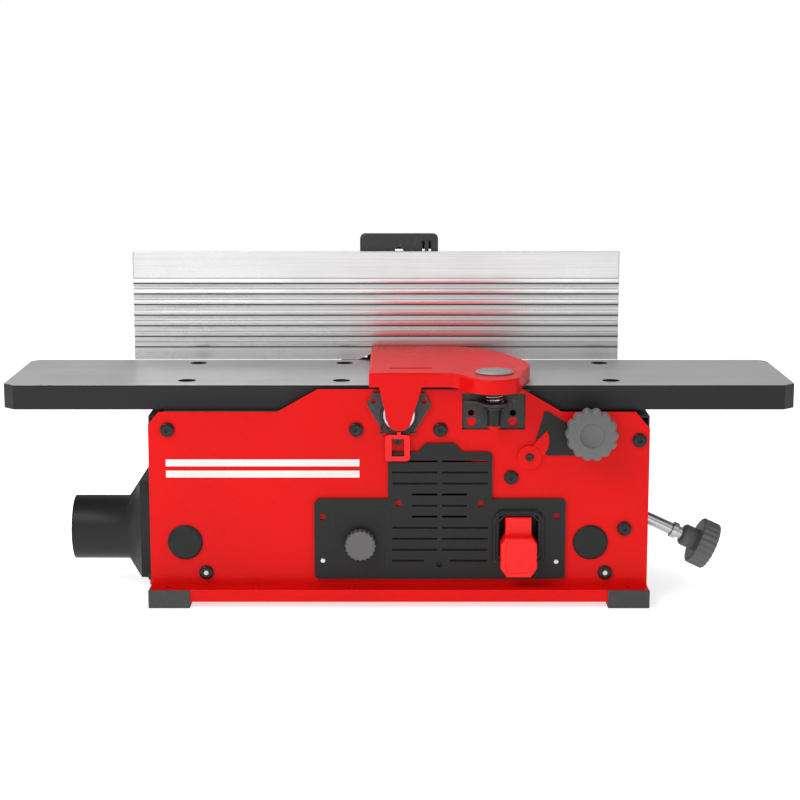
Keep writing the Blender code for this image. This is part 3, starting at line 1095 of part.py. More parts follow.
def build_carriage():
    """The fence's sliding carriage, its fixed support behind the tables, the tilt pin and the two levers."""
    low = TABLE_HEIGHT + CARRIAGE_LIFT
    high = low + CARRIAGE_THICK
    reach = BACK_Y + BACK_REACH
    lug0, lug1 = KNUCKLE_HALF + 1.3 * MM, KNUCKLE_HALF + 1.3 * MM + LUG_WIDTH
    room = KNUCKLE_HALF + 1 * MM
    fore = PIN_Y + LEVER_RADIUS + 1 * MM
    ledge = FENCE_BACK + 1.2 * MM
    ear = lug1 - OVERLAP
    right = [(room, fore), (room, ledge), (ear, ledge), (ear, fore + 1 * MM), (CARRIAGE_HALF, fore + 4 * MM),
             (CARRIAGE_HALF, reach - 5 * MM), (CARRIAGE_HALF - 3 * MM, reach - 2 * MM)]
    outline = right + [(-x, y) for x, y in reversed(right)]
    stud_y = reach - 19 * MM
    hole = circle(SLIDE_STUD_X + 8 * MM, stud_y, SLIDE_STUD_RADIUS + RUN, 14)
    carriage = plate("fence_carriage", "XY", [outline, hole], low, high, CASTING)
    for side in (-1, 1):
        x = sorted((side * lug0, side * lug1))
        lug = arc(PIN_Y, PIN_Z, KNUCKLE_RADIUS, 0, 180, 8)
        lug += [(PIN_Y - KNUCKLE_RADIUS, low + 0.1 * MM), (PIN_Y + KNUCKLE_RADIUS + 5.5 * MM, low + 0.1 * MM)]
        join(carriage, plate("lug", "YZ", [lug], *x))
    bore = PIN_RADIUS + RUN
    cut(carriage, rod("lug_bore", (-SUPPORT_HALF, PIN_Y, PIN_Z), (SUPPORT_HALF, PIN_Y, PIN_Z), bore, steps=16))
    set_origin(carriage, (0, PIN_Y, low))

    head = lug1 + GAP
    end = lug1 + 12 * MM
    profile = [(0, end + head + 5 * MM), (PIN_RADIUS, end + head + 5 * MM), (PIN_RADIUS, 5 * MM),
               (KNUCKLE_RADIUS - 1 * MM, 5 * MM), (KNUCKLE_RADIUS - 1 * MM, 0), (0, 0)]
    turned("tilt_pin", profile, (-head - 5 * MM, PIN_Y, PIN_Z), X_AXIS, STEEL, 16)

    hub0 = lug1 + 0.5 * MM
    lever = ring("tilt_lock_lever", LEVER_RADIUS, bore, (hub0, PIN_Y, PIN_Z), (hub0 + 14 * MM, PIN_Y, PIN_Z),
                 GREY_PLASTIC, 24)
    lean = math.radians(62)
    away = Vector((0, math.sin(lean), math.cos(lean)))
    centre = Vector((hub0 + 10.5 * MM, PIN_Y, PIN_Z))
    join(lever, rod("lever_arm", centre + away * 5 * MM, centre + away * 52 * MM, 3.4 * MM, steps=12))
    join(lever, rod("lever_grip", centre + away * 44 * MM, centre + away * 62 * MM, 5 * MM, steps=14))

    stud_x = SLIDE_STUD_X + 8 * MM
    plate_low = TABLE_HEIGHT - 4.5 * MM
    plate_high = low - GAP
    y0 = REAR_BACK + GAP
    path = slot(stud_x, stud_y - FENCE_TRAVEL, FENCE_TRAVEL, SLIDE_STUD_RADIUS + RUN + 0.3 * MM, math.pi / 2)
    support = plate("fence_support", "XY", [rectangle(-SUPPORT_HALF, SUPPORT_HALF, y0, reach), path],
                    plate_low, plate_high, CASTING)
    gusset = [(y0, plate_high - 0.2 * MM), (y0, top(-44)), (y0 + 6 * MM, top(-44)),
              (reach - 4 * MM, plate_low - 5 * MM), (reach - 4 * MM, plate_high - 0.2 * MM)]
    for side in (-1, 1):
        x = sorted((side * (SUPPORT_HALF - 0.2 * MM), side * (SUPPORT_HALF - 6 * MM)))
        leg_x = sorted((side * (SUPPORT_HALF - 0.4 * MM), side * 34.5 * MM))
        join(support, plate("gusset", "YZ", [gusset], *x))
        join(support, block("leg", leg_x, (y0 + 0.1 * MM, y0 + 4 * MM), (top(-43), plate_high - 0.4 * MM)))

    nut_low = plate_low - 0.5 * MM - 4 * MM
    origin = (stud_x, stud_y, nut_low)
    up = high + 0.4 * MM - nut_low
    profile = [(0, up + 16 * MM), (8 * MM, up + 16 * MM), (9 * MM, up + 12 * MM), (9 * MM, up),
               (SLIDE_STUD_RADIUS, up), (SLIDE_STUD_RADIUS, 4 * MM), (7 * MM, 4 * MM), (7 * MM, 0), (0, 0)]
    lever = turned("slide_lock_lever", profile, origin, Z_AXIS, GREY_PLASTIC, 24)
    arm_z = nut_low + up + 10 * MM
    join(lever, rod("slide_arm", (stud_x - 5 * MM, stud_y, arm_z), (stud_x - 42 * MM, stud_y, arm_z + 8 * MM),
                    3.4 * MM, steps=12))
    join(lever, rod("slide_grip", (stud_x - 36 * MM, stud_y, arm_z + 6.7 * MM),
                    (stud_x - 54 * MM, stud_y, arm_z + 10.6 * MM), 5 * MM, steps=14))


build_front_panel()
build_rear_panel()
build_end_panels()
build_feet()
build_panel_screws()
build_outfeed()
build_infeed()
build_height_screw()
build_table_lock()
build_depth_gauge()
build_cutterhead()
build_bearings()
build_drive()
build_dust_outlet()
build_control_panel()
build_switch()
build_speed_control()
build_caps_and_gland()
build_head_lock()
build_guard()
build_fence()
build_carriage()
for part in PARTS.objects:
    if part.type == "MESH":
        smooth(part)
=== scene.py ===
"""Bench jointer: the visible model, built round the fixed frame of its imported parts.

Metres, +Z up, in the frame's own axes: X along the tables to the infeed end, -Y towards the operator.
"""

import json
import math

import bmesh
import bpy
from bpy.props import FloatProperty, FloatVectorProperty, IntProperty, PointerProperty
from bpy.types import Operator, Panel, PropertyGroup
from mathutils import Matrix, Vector


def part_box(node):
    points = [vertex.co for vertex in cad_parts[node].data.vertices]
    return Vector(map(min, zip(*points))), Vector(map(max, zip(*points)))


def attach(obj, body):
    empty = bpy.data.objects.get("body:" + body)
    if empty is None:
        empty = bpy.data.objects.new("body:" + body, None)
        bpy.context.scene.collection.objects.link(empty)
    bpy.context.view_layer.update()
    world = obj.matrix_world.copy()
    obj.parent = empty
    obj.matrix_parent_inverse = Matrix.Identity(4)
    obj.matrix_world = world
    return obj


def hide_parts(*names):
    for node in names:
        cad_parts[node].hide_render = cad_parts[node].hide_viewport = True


bl_info = {
    "name": "Bench Jointer",
    "version": (1, 0, 0),
    "blender": (4, 5, 0),
    "location": "View3D > Sidebar > Jointer",
    "description": "Finishes a bench jointer: tables, fence, guard, base, controls and studio",
    "category": "Object",
}

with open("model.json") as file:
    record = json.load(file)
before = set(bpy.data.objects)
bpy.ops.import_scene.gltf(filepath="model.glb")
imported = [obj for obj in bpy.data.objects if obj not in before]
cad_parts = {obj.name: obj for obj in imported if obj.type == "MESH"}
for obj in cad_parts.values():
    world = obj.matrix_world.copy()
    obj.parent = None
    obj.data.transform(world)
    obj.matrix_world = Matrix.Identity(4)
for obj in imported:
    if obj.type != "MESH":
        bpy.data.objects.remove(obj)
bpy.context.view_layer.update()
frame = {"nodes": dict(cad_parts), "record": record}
RECORD = frame["record"]
BODY_OF = {node: body for body, nodes in RECORD["behaviour"]["bodies"].items() for node in nodes}
SLOT_OF = {part["node"]: part["material_slot"] for part in RECORD["subparts"]}
MM = 0.001


def box(node):
    low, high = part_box(node)
    return Vector(low), Vector(high)


TABLE_LOW, TABLE_HIGH = box("outfeed_table")
TOP = TABLE_HIGH.z
FRONT = TABLE_LOW.y
BACK = TABLE_HIGH.y
PANEL_FACE = FRONT - 8 * MM
CONTROL_FACE = box("control_panel")[0].y
REAR_BACK = 52.8 * MM
X_AXIS, Y_AXIS, Z_AXIS = Vector((1, 0, 0)), Vector((0, 1, 0)), Vector((0, 0, 1))
TOWARDS = -Y_AXIS  # towards the operator
JOINTS = {joint["name"]: joint for joint in RECORD["behaviour"]["joints"]}


def above(distance):
    """Height of a place given in millimetres above (or, negative, below) the working surface."""
    return TOP + distance * MM


# Settings


class JointerSizes(PropertyGroup):
    """Sizes of the finish: roundings, grooves and how finely turned pieces are cut."""

    sheet_round: FloatProperty(name="Sheet edge", description="Rounding of the sheet-metal edges",
                               default=0.5 * MM, unit="LENGTH")
    cast_round: FloatProperty(name="Casting edge", description="Rounding of the cast pieces' edges",
                              default=0.9 * MM, unit="LENGTH")
    table_round: FloatProperty(name="Table edge", description="Rounding of the tables' edges",
                               default=1.2 * MM, unit="LENGTH")
    guard_round: FloatProperty(name="Guard edge", description="Rounding of the guard's upper edge",
                               default=2.0 * MM, unit="LENGTH")
    fine_groove: FloatProperty(name="Fine groove", description="Depth of the fence's fine lines",
                               default=0.35 * MM, unit="LENGTH")
    knob_steps: IntProperty(name="Knob steps", description="Points to each flute of a hand knob", default=12)
    turn_steps: IntProperty(name="Turning steps", description="Sides of a turned piece", default=72)


class JointerColours(PropertyGroup):
    """Colours of the finishes."""

    enamel: FloatVectorProperty(name="Enamel", description="Red enamel of the base and guard", subtype="COLOR",
                                size=3, min=0, max=1, default=(0.74, 0.0045, 0.004))
    paint: FloatVectorProperty(name="Edge paint", description="Black paint of the tables' edges",
                               subtype="COLOR", size=3, min=0, max=1, default=(0.020, 0.0205, 0.0205))
    machined: FloatVectorProperty(name="Machined metal", description="The tables' machined tops",
                                  subtype="COLOR", size=3, min=0, max=1, default=(0.60, 0.60, 0.60))
    aluminium: FloatVectorProperty(name="Aluminium", description="The fence's brushed face", subtype="COLOR",
                                   size=3, min=0, max=1, default=(0.90, 0.90, 0.90))
    casting: FloatVectorProperty(name="Casting", description="Dark painted castings", subtype="COLOR",
                                 size=3, min=0, max=1, default=(0.036, 0.038, 0.038))
    grey: FloatVectorProperty(name="Grey plastic", description="Hand knobs and levers", subtype="COLOR",
                              size=3, min=0, max=1, default=(0.108, 0.108, 0.108))
    black: FloatVectorProperty(name="Black plastic", description="Control panel and covers", subtype="COLOR",
                               size=3, min=0, max=1, default=(0.0145, 0.0155, 0.015))
    rubber: FloatVectorProperty(name="Rubber", description="Feet and belt", subtype="COLOR",
                                size=3, min=0, max=1, default=(0.048, 0.048, 0.048))


def sizes():
    """The finish sizes set in the scene."""
    return bpy.context.scene.jointer_sizes


def colours():
    """The finish colours set in the scene."""
    return bpy.context.scene.jointer_colours


# Shader groups: each gives colours, masks and heights that change over the surface


class Net:
    """A small helper that adds nodes to a tree and wires them."""

    def __init__(self, tree):
        self.tree = tree

    def add(self, kind, **settings):
        node = self.tree.nodes.new(kind)
        for name, value in settings.items():
            setattr(node, name, value)
        return node

    def wire(self, source, target):
        self.tree.links.new(source, target)

    def noise(self, vector, scale, detail=4.0, roughness=0.55):
        node = self.add("ShaderNodeTexNoise")
        node.inputs["Detail"].default_value = detail
        node.inputs["Roughness"].default_value = roughness
        self.wire(vector, node.inputs["Vector"])
        if isinstance(scale, (int, float)):
            node.inputs["Scale"].default_value = scale
        else:
            self.wire(scale, node.inputs["Scale"])
        return node.outputs["Fac"]

    def stretch(self, vector, amounts):
        node = self.add("ShaderNodeMapping")
        node.inputs["Scale"].default_value = amounts
        self.wire(vector, node.inputs["Vector"])
        return node.outputs["Vector"]

    def math(self, operation, first, second):
        node = self.add("ShaderNodeMath", operation=operation)
        for value, socket in ((first, node.inputs[0]), (second, node.inputs[1])):
            if isinstance(value, (int, float)):
                socket.default_value = value
            else:
                self.wire(value, socket)
        return node.outputs[0]

    def span(self, value, low, high, to_low, to_high):
        node = self.add("ShaderNodeMapRange")
        self.wire(value, node.inputs["Value"])
        for name, number in (("From Min", low), ("From Max", high), ("To Min", to_low), ("To Max", to_high)):
            if isinstance(number, (int, float)):
                node.inputs[name].default_value = number
            else:
                self.wire(number, node.inputs[name])
        return node.outputs["Result"]

    def blend(self, factor, first, second, mode="MIX"):
        node = self.add("ShaderNodeMix", data_type="RGBA", blend_type=mode)
        for value, socket in ((factor, node.inputs[0]), (first, node.inputs[6]), (second, node.inputs[7])):
            if isinstance(value, (int, float)):
                socket.default_value = value
            elif isinstance(value, tuple):
                socket.default_value = (*value, 1)
            else:
                self.wire(value, socket)
        return node.outputs[2]


def group(name, inputs, outputs):
    """A new shader group with named sockets: (tree helper, input node, output node)."""
    tree = bpy.data.node_groups.new(name, "ShaderNodeTree")
    for word, kind, value in inputs:
        socket = tree.interface.new_socket(name=word, in_out="INPUT", socket_type=kind)
        if value is not None:
            socket.default_value = value
    for word, kind in outputs:
        tree.interface.new_socket(name=word, in_out="OUTPUT", socket_type=kind)
    net = Net(tree)
    return net, net.add("NodeGroupInput"), net.add("NodeGroupOutput")


COLOUR, FLOAT, VECTOR = "NodeSocketColor", "NodeSocketFloat", "NodeSocketVector"


def edge_wear_and_highlight_group():
    """Where the surface turns sharply, broken up by noise: a mask for lighter edges, partly wear and partly painted
    highlight.
    """
    net, given, out = group("Edge wear and painted highlight", [("Vector", VECTOR, None), ("Amount", FLOAT, 0.5)], [("Mask", FLOAT)])
    eased = net.add("ShaderNodeBevel", samples=3)
    eased.inputs["Radius"].default_value = 0.9 * MM
    shape = net.add("ShaderNodeNewGeometry")
    facing = net.add("ShaderNodeVectorMath", operation="DOT_PRODUCT")
    net.wire(eased.outputs["Normal"], facing.inputs[0])
    net.wire(shape.outputs["Normal"], facing.inputs[1])
    # edge marks the sharp turns, where the lighter colour is a painted highlight as well as wear
    edge = net.span(facing.outputs["Value"], 0.90, 0.995, 1.0, 0.0)
    breakup = net.span(net.noise(given.outputs["Vector"], 160.0), 0.40, 0.62, 0.0, 1.0)
    mask = net.math("MULTIPLY", net.math("MULTIPLY", edge, breakup), given.outputs["Amount"])
    net.wire(mask, out.inputs["Mask"])
    return net.tree


def coat_group():
    """Sprayed enamel or paint: faint clouds in the colour, a fine orange-peel skin and dust on upper faces."""
    net, given, out = group(
        "Sprayed coat",
        [("Vector", VECTOR, None), ("Colour", COLOUR, (1, 0, 0, 1)), ("Peel scale", FLOAT, 900.0),
         ("Gloss", FLOAT, 0.3), ("Dust", FLOAT, 0.05)],
        [("Colour", COLOUR), ("Roughness", FLOAT), ("Height", FLOAT)],
    )
    place = given.outputs["Vector"]
    clouds = net.noise(place, 7.0, 3.0)
    darker = net.blend(1.0, given.outputs["Colour"], (0.90, 0.90, 0.90), "MULTIPLY")
    colour = net.blend(net.span(clouds, 0.35, 0.65, 0.0, 1.0), darker, given.outputs["Colour"])
    shape = net.add("ShaderNodeNewGeometry")
    parts = net.add("ShaderNodeSeparateXYZ")
    net.wire(shape.outputs["Normal"], parts.inputs[0])
    upper = net.span(parts.outputs["Z"], 0.6, 1.0, 0.0, 1.0)
    specks = net.span(net.noise(place, 420.0, 2.0), 0.5, 0.75, 0.0, 1.0)
    dust = net.math("MULTIPLY", net.math("MULTIPLY", upper, specks), given.outputs["Dust"])
    net.wire(net.blend(dust, colour, (0.75, 0.70, 0.62)), out.inputs["Colour"])
    handled = net.noise(place, 28.0, 5.0)
    gloss = net.math("ADD", given.outputs["Gloss"], net.span(handled, 0.3, 0.7, -0.045, 0.06))
    net.wire(net.math("ADD", gloss, dust), out.inputs["Roughness"])
    peel = net.noise(place, given.outputs["Peel scale"], 1.5)
    net.wire(peel, out.inputs["Height"])
    return net.tree


def brushed_group():
    """Metal worked in one direction: long fine lines, a few deeper ones, and blotches left by handling."""
    net, given, out = group(
        "Brushed metal",
        [("Vector", VECTOR, None), ("Colour", COLOUR, (0.6, 0.6, 0.6, 1)), ("Lines", FLOAT, 1.0),
         ("Gloss", FLOAT, 0.3)],
        [("Colour", COLOUR), ("Roughness", FLOAT), ("Height", FLOAT)],
    )
    place = given.outputs["Vector"]
    fine = net.noise(net.stretch(place, (6.0, 1400.0, 1400.0)), given.outputs["Lines"], 3.0)
    deep = net.noise(net.stretch(place, (3.0, 620.0, 620.0)), given.outputs["Lines"], 2.0)
    lines = net.math("ADD", net.math("MULTIPLY", fine, 0.75), net.math("MULTIPLY", deep, 0.25))
    shade = net.span(lines, 0.35, 0.65, 0.0, 1.0)
    dark = net.blend(1.0, given.outputs["Colour"], (0.86, 0.86, 0.87), "MULTIPLY")
    colour = net.blend(shade, dark, given.outputs["Colour"])
    blots = net.noise(place, 11.0, 4.0)
    stained = net.blend(1.0, colour, (0.93, 0.93, 0.94), "MULTIPLY")
    net.wire(net.blend(net.span(blots, 0.4, 0.7, 0.0, 1.0), colour, stained), out.inputs["Colour"])
    gloss = net.math("ADD", given.outputs["Gloss"], net.span(blots, 0.3, 0.7, -0.05, 0.07))
    net.wire(net.math("ADD", gloss, net.span(lines, 0.3, 0.7, -0.03, 0.05)), out.inputs["Roughness"])
    net.wire(lines, out.inputs["Height"])
    return net.tree


def grain_group():
    """Moulded plastic, rubber or a sand casting: a pebbled skin with slightly uneven colour."""
    net, given, out = group(
        "Moulded grain",
        [("Vector", VECTOR, None), ("Colour", COLOUR, (0.1, 0.1, 0.1, 1)), ("Grain scale", FLOAT, 1200.0),
         ("Gloss", FLOAT, 0.5), ("Dust", FLOAT, 0.1)],
        [("Colour", COLOUR), ("Roughness", FLOAT), ("Height", FLOAT)],
    )
    place = given.outputs["Vector"]
    cells = net.add("ShaderNodeTexVoronoi", feature="SMOOTH_F1")
    net.wire(place, cells.inputs["Vector"])
    net.wire(given.outputs["Grain scale"], cells.inputs["Scale"])
    cells.inputs["Smoothness"].default_value = 0.6
    pebbles = net.math("ADD", cells.outputs["Distance"],
                       net.math("MULTIPLY", net.noise(place, 900.0, 3.0), 0.5))
    net.wire(pebbles, out.inputs["Height"])
    clouds = net.noise(place, 16.0, 4.0)
    lighter = net.blend(1.0, given.outputs["Colour"], (1.22, 1.22, 1.21), "MULTIPLY")
    colour = net.blend(net.span(clouds, 0.35, 0.68, 0.0, 1.0), given.outputs["Colour"], lighter)
    specks = net.span(net.noise(place, 260.0, 4.0), 0.6, 0.8, 0.0, 1.0)
    dust = net.math("MULTIPLY", specks, given.outputs["Dust"])
    net.wire(net.blend(dust, colour, (0.45, 0.44, 0.42)), out.inputs["Colour"])
    gloss = net.math("ADD", given.outputs["Gloss"], net.span(clouds, 0.3, 0.7, -0.05, 0.06))
    net.wire(gloss, out.inputs["Roughness"])
    return net.tree


GROUPS = {}
MATERIALS = {}
STOOD_FOR = set()


def shared(name):
    """The named shader group, made the first time that it is asked for."""
    if name not in GROUPS:
        makers = {"edge_wear_highlight": edge_wear_and_highlight_group, "coat": coat_group, "brushed": brushed_group, "grain": grain_group}
        GROUPS[name] = makers[name]()
    return GROUPS[name]


def finish(name, kind, colour, values, metal=0.0, bump=0.1, depth=0.05 * MM, edge=None, edge_wear_highlight=0.5,
           specular=0.5):
    """Makes a material of one of the shared groups: its own colour and values, edges lightened for wear and as a
    painted highlight, and a fine relief.
    """
    material = bpy.data.materials.new(name)
    material.use_nodes = True
    net = Net(material.node_tree)
    shader = material.node_tree.nodes["Principled BSDF"]
    shader.inputs["Metallic"].default_value = metal
    shader.inputs["Specular IOR Level"].default_value = specular
    place = net.add("ShaderNodeTexCoord").outputs["Object"]
    skin = net.add("ShaderNodeGroup", node_tree=shared(kind))
    net.wire(place, skin.inputs["Vector"])
    skin.inputs["Colour"].default_value = (*colour, 1)
    for word, value in values.items():
        skin.inputs[word].default_value = value
    base = skin.outputs["Colour"]
    # The edge colour lightens sharp edges: partly wear, partly a painted highlight.
    if edge:
        wear_highlight_mask = net.add("ShaderNodeGroup", node_tree=shared("edge_wear_highlight"))
        net.wire(place, wear_highlight_mask.inputs["Vector"])
        wear_highlight_mask.inputs["Amount"].default_value = edge_wear_highlight
        base = net.blend(wear_highlight_mask.outputs["Mask"], base, edge)
    net.wire(base, shader.inputs["Base Color"])
    net.wire(skin.outputs["Roughness"], shader.inputs["Roughness"])
    relief = net.add("ShaderNodeBump")
    relief.inputs["Strength"].default_value = bump
    relief.inputs["Distance"].default_value = depth
    net.wire(skin.outputs["Height"], relief.inputs["Height"])
    net.wire(relief.outputs["Normal"], shader.inputs["Normal"])
    MATERIALS[name] = material


def build_finishes():
    """One material for each of the record's slots, with a few that only details use."""
    chosen = colours()
    # Each edge colour below lightens sharp edges: partly wear, partly a painted highlight.
    finish(
        "red_enamel", "coat", chosen.enamel, {"Peel scale": 650.0, "Gloss": 0.30, "Dust": 0.0},
        bump=0.12, depth=0.05 * MM, edge=(0.90, 0.10, 0.08), edge_wear_highlight=0.3, specular=0.12)
    finish(
        "black_paint", "coat", chosen.paint, {"Peel scale": 900.0, "Gloss": 0.42, "Dust": 0.0},
        bump=0.22, depth=0.06 * MM, edge=(0.10, 0.10, 0.10), edge_wear_highlight=0.6, specular=0.2)
    finish(
        "machined_aluminium", "brushed", chosen.machined, {"Lines": 0.7, "Gloss": 0.36},
        metal=0.85, bump=0.25, depth=0.03 * MM)
    finish(
        "brushed_aluminium", "brushed", chosen.aluminium, {"Lines": 1.0, "Gloss": 0.29},
        metal=0.85, bump=0.14, depth=0.03 * MM)
    finish(
        "dark_casting", "grain", chosen.casting, {"Grain scale": 620.0, "Gloss": 0.55, "Dust": 0.12},
        bump=0.5, depth=0.2 * MM, edge=(0.20, 0.20, 0.20), edge_wear_highlight=0.6, specular=0.3)
    finish(
        "bright_steel", "brushed", (0.62, 0.62, 0.63), {"Lines": 2.0, "Gloss": 0.22},
        metal=1.0, bump=0.2, depth=0.02 * MM)
    finish(
        "black_steel", "grain", (0.010, 0.010, 0.011), {"Grain scale": 1500.0, "Gloss": 0.28, "Dust": 0.0},
        metal=0.2, bump=0.15, depth=0.04 * MM, edge=(0.20, 0.20, 0.21), edge_wear_highlight=0.7, specular=0.35)
    finish(
        "grey_plastic", "grain", chosen.grey, {"Grain scale": 1300.0, "Gloss": 0.46, "Dust": 0.06},
        bump=0.25, depth=0.08 * MM, edge=(0.26, 0.26, 0.26), edge_wear_highlight=0.4, specular=0.35)
    finish(
        "black_plastic", "grain", chosen.black, {"Grain scale": 1500.0, "Gloss": 0.44, "Dust": 0.01},
        bump=0.25, depth=0.08 * MM, edge=(0.09, 0.09, 0.09), edge_wear_highlight=0.5, specular=0.22)
    finish(
        "rubber", "grain", chosen.rubber, {"Grain scale": 900.0, "Gloss": 0.66, "Dust": 0.15},
        bump=0.4, depth=0.15 * MM, edge=(0.16, 0.16, 0.15), edge_wear_highlight=0.5, specular=0.3)
    finish(
        "red_plastic", "grain", (0.80, 0.006, 0.005), {"Grain scale": 1700.0, "Gloss": 0.33, "Dust": 0.01},
        bump=0.1, depth=0.04 * MM, edge=(0.90, 0.14, 0.12), edge_wear_highlight=0.3, specular=0.3)
    finish(
        "white_print", "coat", (0.82, 0.82, 0.80), {"Peel scale": 1200.0, "Gloss": 0.4, "Dust": 0.05},
        bump=0.1, depth=0.03 * MM)
    finish(
        "cutter_steel", "brushed", (0.20, 0.20, 0.205), {"Lines": 1.5, "Gloss": 0.45}, metal=0.7, bump=0.2)
    # Darker finishes for the faces inside the fence's fine lines and grooves: painted shade in the recesses.
    finish(
        "fine_line_painted_shade", "brushed", (0.42, 0.42, 0.42), {"Lines": 1.0, "Gloss": 0.55}, metal=0.3, bump=0.1)
    finish(
        "groove_painted_shade", "brushed", (0.10, 0.10, 0.10), {"Lines": 1.0, "Gloss": 0.6}, metal=0.2, bump=0.1)
    finish(
        "cap_grey", "grain", (0.24, 0.215, 0.21), {"Grain scale": 1700.0, "Gloss": 0.42, "Dust": 0.02},
        bump=0.2, depth=0.06 * MM, edge=(0.4, 0.38, 0.38), edge_wear_highlight=0.3)


# Making pieces


def settle(name, shape, body, slot, *nodes, material=None, angle=32):
    """Makes a bmesh, which is already in place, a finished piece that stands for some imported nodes, or for none."""
    mesh = bpy.data.meshes.new(name)
    shape.to_mesh(mesh)
    shape.free()
    mesh.shade_smooth()
    mesh.set_sharp_from_angle(angle=math.radians(angle))
    piece = bpy.data.objects.new(name, mesh)
    bpy.context.scene.collection.objects.link(piece)
    if not mesh.materials:
        mesh.materials.append(MATERIALS[material or slot])
    even = piece.modifiers.new("even_normals", "WEIGHTED_NORMAL")
    even.keep_sharp = True
    even.weight = 100
    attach(piece, body)
    if nodes:
        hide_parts(*nodes)
        STOOD_FOR.update(nodes)
    return piece


def merged(node):
    """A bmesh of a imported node, with its loose triangles joined into whole faces."""
    shape = bmesh.new()
    shape.from_mesh(frame["nodes"][node].data)
    bmesh.ops.remove_doubles(shape, verts=shape.verts, dist=0.004 * MM)
    bmesh.ops.dissolve_limit(shape, angle_limit=math.radians(0.6), use_dissolve_boundaries=False,
                             verts=shape.verts, edges=shape.edges, delimit=set())
    return shape


def sharp_edges(shape, angle, shortest=0.0):
    """The convex edges between faces that turn by more than an angle."""
    limit = math.radians(angle)
    return [
        edge for edge in shape.edges
        if len(edge.link_faces) == 2 and edge.is_convex and edge.calc_face_angle(0) > limit
        and edge.calc_length() > shortest
    ]


def round_edges(shape, edges, width, segments=2):
    """Rounds the given edges of a shape."""
    bmesh.ops.bevel(shape, geom=edges, offset=width, offset_type="OFFSET", segments=segments, profile=0.5,
                    affect="EDGES", material=-1, clamp_overlap=True)


def soften(node, width, segments=2, material=None):
    """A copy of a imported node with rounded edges, which stands for it."""
    shape = merged(node)
    round_edges(shape, sharp_edges(shape, 35), width, segments)
    settle(node + "_shell", shape, BODY_OF[node], SLOT_OF[node], node, material=material)


def middle_of(node, y=None):
    """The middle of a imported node's box, or that middle moved to a depth."""
    low, high = box(node)
    middle = (low + high) / 2
    return middle if y is None else Vector((middle.x, y, middle.z))


def frame_on(origin, axis):
    """The matrix that takes a piece drawn about +Z at the origin to its place on an axis."""
    return Matrix.Translation(origin) @ Z_AXIS.rotation_difference(Vector(axis)).to_matrix().to_4x4()


def spun(shape, profile, steps, place=None, closed=False):
    """Turns a profile of (radius, height) points about Z into a shape, and takes it to its place."""
    before = set(shape.verts)
    points = [shape.verts.new((radius, 0, height)) for radius, height in profile]
    edges = [shape.edges.new(pair) for pair in zip(points, points[1:])]
    if closed:
        edges.append(shape.edges.new((points[-1], points[0])))
    bmesh.ops.spin(shape, geom=points + edges, cent=(0, 0, 0), axis=(0, 0, 1), angle=2 * math.pi,
                   steps=steps, use_merge=True)
    made = [vert for vert in shape.verts if vert not in before]
    bmesh.ops.remove_doubles(shape, verts=made, dist=0.002 * MM)
    made = [vert for vert in shape.verts if vert not in before]
    faces = list({face for vert in made for face in vert.link_faces})
    bmesh.ops.recalc_face_normals(shape, faces=faces)
    if place is not None:
        bmesh.ops.transform(shape, matrix=place, verts=made)
    return made


def rounded_profile(corners, radius, steps=4):
    """A profile of (radius, height) corners with the inner ones rounded."""
    points = [Vector(corners[0])]
    for before, corner, after in zip(corners, corners[1:], corners[2:]):
        before, corner, after = Vector(before), Vector(corner), Vector(after)
        back, ahead = before - corner, after - corner
        reach = min(radius, back.length * 0.45, ahead.length * 0.45)
        first, last = corner + back.normalized() * reach, corner + ahead.normalized() * reach
        for step in range(steps + 1):
            t = step / steps
            points.append(first * (1 - t) ** 2 + corner * 2 * t * (1 - t) + last * t**2)
    points.append(Vector(corners[-1]))
    return [tuple(point) for point in points]


def turned(shape, corners, radius, steps, place, closed=False):
    """Turns a profile of (radius, height) corners in millimetres, the inner ones rounded, at its place."""
    profile = rounded_profile([(out * MM, height * MM) for out, height in corners], radius * MM)
    spun(shape, profile, steps, place, closed)


def slab(shape, low, high, width=0.0, segments=2, place=None):
    """A box between two corners, with rounded edges."""
    low, high = Vector(low), Vector(high)
    made = bmesh.ops.create_cube(shape, size=1.0)["verts"]
    size = high - low
    matrix = Matrix.Translation((low + high) / 2) @ Matrix.Diagonal((*size, 1))
    bmesh.ops.transform(shape, matrix=matrix, verts=made)
    if width:
        edges = list({edge for vert in made for edge in vert.link_edges})
        grown = bmesh.ops.bevel(shape, geom=edges, offset=width, offset_type="OFFSET", segments=segments,
                                profile=0.5, affect="EDGES", material=-1, clamp_overlap=True)
        rounded = {vert for face in grown["faces"] for vert in face.verts}
        made = list(rounded | {vert for vert in made if vert.is_valid})
    if place is not None:
        bmesh.ops.transform(shape, matrix=place, verts=made)
    return made


def extruded(shape, faces, keep=False):
    """Extrudes faces on the spot: (new faces, their points). The old faces go, or stay to close the other side."""
    grown = bmesh.ops.extrude_face_region(shape, geom=faces, use_keep_orig=True)["geom"]
    if not keep:
        bmesh.ops.delete(shape, geom=faces, context="FACES")
    raised = [part for part in grown if isinstance(part, bmesh.types.BMFace)]
    return raised, [part for part in grown if isinstance(part, bmesh.types.BMVert)]


def place_new(shape, before, place):
    """Turns the faces made since `before` outwards, and takes their points to a place."""
    made = [vert for vert in shape.verts if vert not in before]
    faces = list({face for vert in made for face in vert.link_faces})
    bmesh.ops.recalc_face_normals(shape, faces=faces)
    if place is not None:
        bmesh.ops.transform(shape, matrix=place, verts=made)


